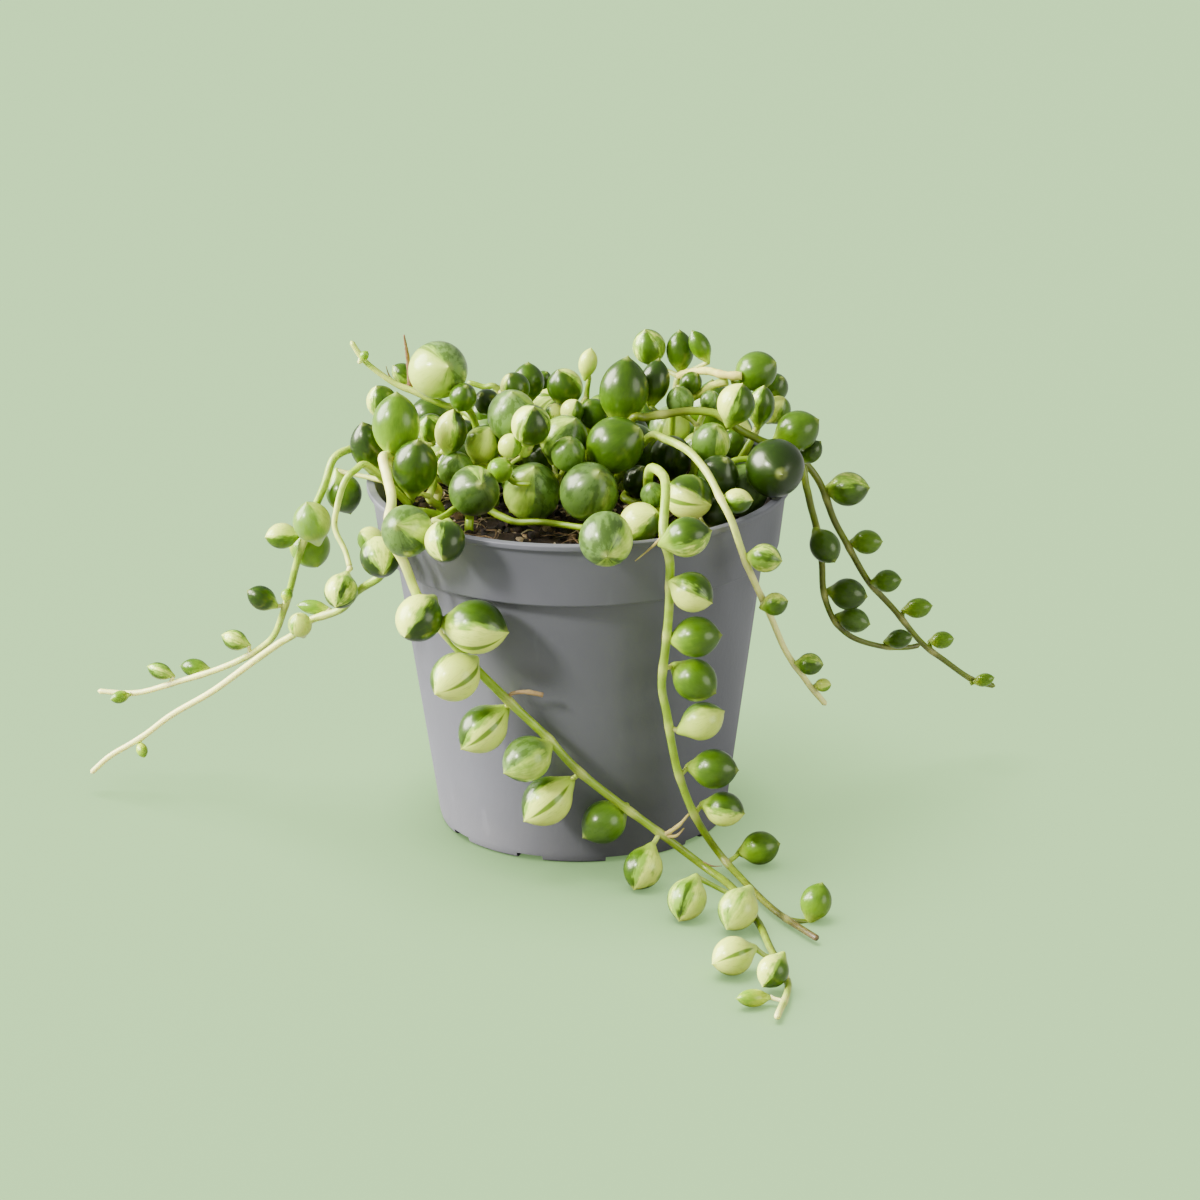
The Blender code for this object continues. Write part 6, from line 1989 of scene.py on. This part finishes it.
def add_fibres(skin, draw):
    """Thin bent fibres that lie on the soil: each is a line with a sideways bend, lifted in its middle."""
    x, y = scattered(draw, FIBRES)
    share = np.linspace(-1.0, 1.0, FIBRE_STEPS)
    for place_x, place_y in zip(x, y):
        turn = draw.uniform(0, 2 * math.pi)
        half = draw.uniform(*FIBRE_HALF)
        bend = draw.uniform(-0.6, 0.6) * half * (1 - share**2)
        along = share * half
        path_x = place_x + along * math.cos(turn) - bend * math.sin(turn)
        path_y = place_y + along * math.sin(turn) + bend * math.cos(turn)
        inside = min(1.0, (soil_edge() - CRUMB_INSET) / np.hypot(path_x, path_y).max())
        path_x, path_y = path_x * inside, path_y * inside
        lift = draw.uniform(*FIBRE_LIFT) * (1 - share**2)
        height = crumbly_height(path_x, path_y)
        path = np.stack((path_x, path_y, 0.5 * height + 0.5 * height.mean() + lift + 0.1), axis=1)
        radii = draw.uniform(*FIBRE_RADIUS) * (1 - 0.6 * np.abs(share))
        rings = carried(path, radii, 5)
        tone = draw.uniform(0.45, 1.0)
        skin.add(rings, path[0], path[-1], 0, leaf_tone=np.broadcast_to((tone, 0.0, 0.0), rings.shape))


class MELONS_OT_stage(bpy.types.Operator):
    """Add the ground, the lights and the camera"""

    bl_idname = "melons.add_stage"
    bl_label = "Add Stage"

    def execute(self, context):
        settings = context.scene.melons_stage
        ground = add_ground(settings)
        key = add_light("key", (-1.90, 0.25, 1.02), 1.8, settings.key_light, (1.0, 0.985, 0.96))
        second = add_light("second", (-1.50, -0.95, 1.25), 0.36, settings.second_light, (1.0, 1.0, 1.0))
        fill = add_light("fill", (1.40, -0.90, 0.50), 1.2, settings.fill_light, (1.0, 1.0, 1.0))
        above = add_light("above", (-0.9, 0.4, 4.0), 3.0, settings.ground_light, (1.0, 1.0, 1.0))
        for lamp, state in ((key, "EXCLUDE"), (second, "EXCLUDE"), (fill, "EXCLUDE"), (above, "INCLUDE")):
            lit_by(lamp, ground, state)
        world = bpy.data.worlds.new("soft_sky")
        world.use_nodes = True
        backdrop = world.node_tree.nodes["Background"]
        backdrop.inputs["Color"].default_value = (0.93, 0.97, 1.0, 1.0)
        backdrop.inputs["Strength"].default_value = settings.sky
        context.scene.world = world
        add_camera()
        return {"FINISHED"}


GROUND_RADIUS = 2.6
GROUND_WALL = 0.4
GROUND_BEND = 0.6


def add_ground(settings):
    """A round floor whose edge curves up into a wall all round: its outline is flat, then a quarter
    circle, then straight up."""
    bend = np.linspace(0.0, math.pi / 2, 24)
    flat = np.linspace(0.02, GROUND_RADIUS, 12)
    out = np.concatenate((flat, GROUND_RADIUS + GROUND_BEND * np.sin(bend), (GROUND_RADIUS + GROUND_BEND,)))
    height = np.concatenate((flat * 0, GROUND_BEND * (1 - np.cos(bend)), (GROUND_BEND + GROUND_WALL,)))
    around = 96
    turn = np.arange(around) * 2 * math.pi / around
    rings = np.stack(
        (out[:, None] * np.cos(turn), out[:, None] * np.sin(turn), np.broadcast_to(height[:, None], (len(out), around))),
        axis=-1,
    )
    row, column = np.meshgrid(np.arange(len(out) - 1), np.arange(around), indexing="ij")
    following = (column + 1) % around
    low, high = row * around, (row + 1) * around
    quads = np.stack((low + column, high + column, high + following, low + following), axis=-1).reshape(-1, 4)
    points = np.concatenate((rings.reshape(-1, 3), np.zeros((1, 3)))) / MM
    middle = np.full(around, len(points) - 1)
    fans = np.stack((middle, np.arange(around), (np.arange(around) + 1) % around), axis=1)
    ground = add_piece("sage_ground", new_mesh("sage_ground", points, [quads], [fans]), [ground_material(settings)])
    return ground


def lit_by(lamp, thing, state):
    """Keeps a lamp's light off one thing, or for it alone."""
    holder = bpy.data.collections.new(f"{lamp.name}_light")
    holder.objects.link(thing)
    lamp.light_linking.receiver_collection = holder
    holder.collection_objects[0].light_linking.link_state = state


def add_light(name, place, size, power, colour):
    lamp = bpy.data.lights.new(name, "AREA")
    lamp.shape = "DISK"
    lamp.size = size
    lamp.energy = power
    lamp.color = colour
    thing = bpy.data.objects.new(name, lamp)
    bpy.context.scene.collection.objects.link(thing)
    thing.location = place
    thing.rotation_mode = "QUATERNION"
    aim = Vector((0.0, 0.0, LOOK_AT[2] * MM)) - Vector(place)
    thing.rotation_quaternion = aim.to_track_quat("-Z", "Y")
    return thing


SENSOR = 36.0


def add_camera():
    """Where the photograph was taken from, with its scale, roll and framing."""
    cosine, sine = math.cos(CAMERA_ROLL), math.sin(CAMERA_ROLL)
    across = CAMERA_RIGHT * cosine + CAMERA_UP * sine
    upward = CAMERA_UP * cosine - CAMERA_RIGHT * sine
    lens = bpy.data.cameras.new("camera")
    lens.sensor_width = SENSOR
    lens.lens = PIXELS_PER_MM * CAMERA_AWAY * SENSOR / PHOTO_PIXELS
    lens.shift_x = (PHOTO_PIXELS / 2 - LOOK_AT_PIXEL[0]) / PHOTO_PIXELS
    lens.shift_y = (LOOK_AT_PIXEL[1] - PHOTO_PIXELS / 2) / PHOTO_PIXELS
    lens.clip_start = 0.01
    lens.clip_end = 10.0
    camera = bpy.data.objects.new("camera", lens)
    bpy.context.scene.collection.objects.link(camera)
    place = (LOOK_AT + TOWARDS_CAMERA * CAMERA_AWAY) * MM
    turn = np.stack((across, upward, TOWARDS_CAMERA), axis=1)
    camera.matrix_world = Matrix([[*row, step] for row, step in zip(turn, place)] + [[0, 0, 0, 1]])
    bpy.context.scene.camera = camera


class MELONS_PT_panel(bpy.types.Panel):
    """Lists the pieces and their settings."""

    bl_label = "Potted String of Watermelons"
    bl_idname = "MELONS_PT_panel"
    bl_space_type = "VIEW_3D"
    bl_region_type = "UI"
    bl_category = "Potted Plant"

    def draw(self, context):
        for operator, group in STEPS:
            box = self.layout.box()
            box.operator(operator.bl_idname)
            settings = getattr(context.scene, group, None) if group else None
            for name in getattr(settings, "__annotations__", {}):
                box.prop(settings, name)


STEPS = (
    (MELONS_OT_stems, "melons_plant"),
    (MELONS_OT_pot, "melons_pot"),
    (MELONS_OT_soil, "melons_soil"),
    (MELONS_OT_stage, "melons_stage"),
)
GROUPS = {
    "melons_plant": MELONS_PG_plant,
    "melons_pot": MELONS_PG_pot,
    "melons_soil": MELONS_PG_soil,
    "melons_stage": MELONS_PG_stage,
}
CLASSES = (*GROUPS.values(), *(operator for operator, _ in STEPS), MELONS_PT_panel)


def register():
    for kind in CLASSES:
        bpy.utils.register_class(kind)
    for name, group in GROUPS.items():
        setattr(bpy.types.Scene, name, bpy.props.PointerProperty(type=group))


def unregister():
    for name in GROUPS:
        delattr(bpy.types.Scene, name)
    for kind in reversed(CLASSES):
        bpy.utils.unregister_class(kind)


def main():
    register()
    for operator, _ in STEPS:
        group, action = operator.bl_idname.split(".")
        getattr(getattr(bpy.ops, group), action)()


if __name__ == "__main__":
    main()
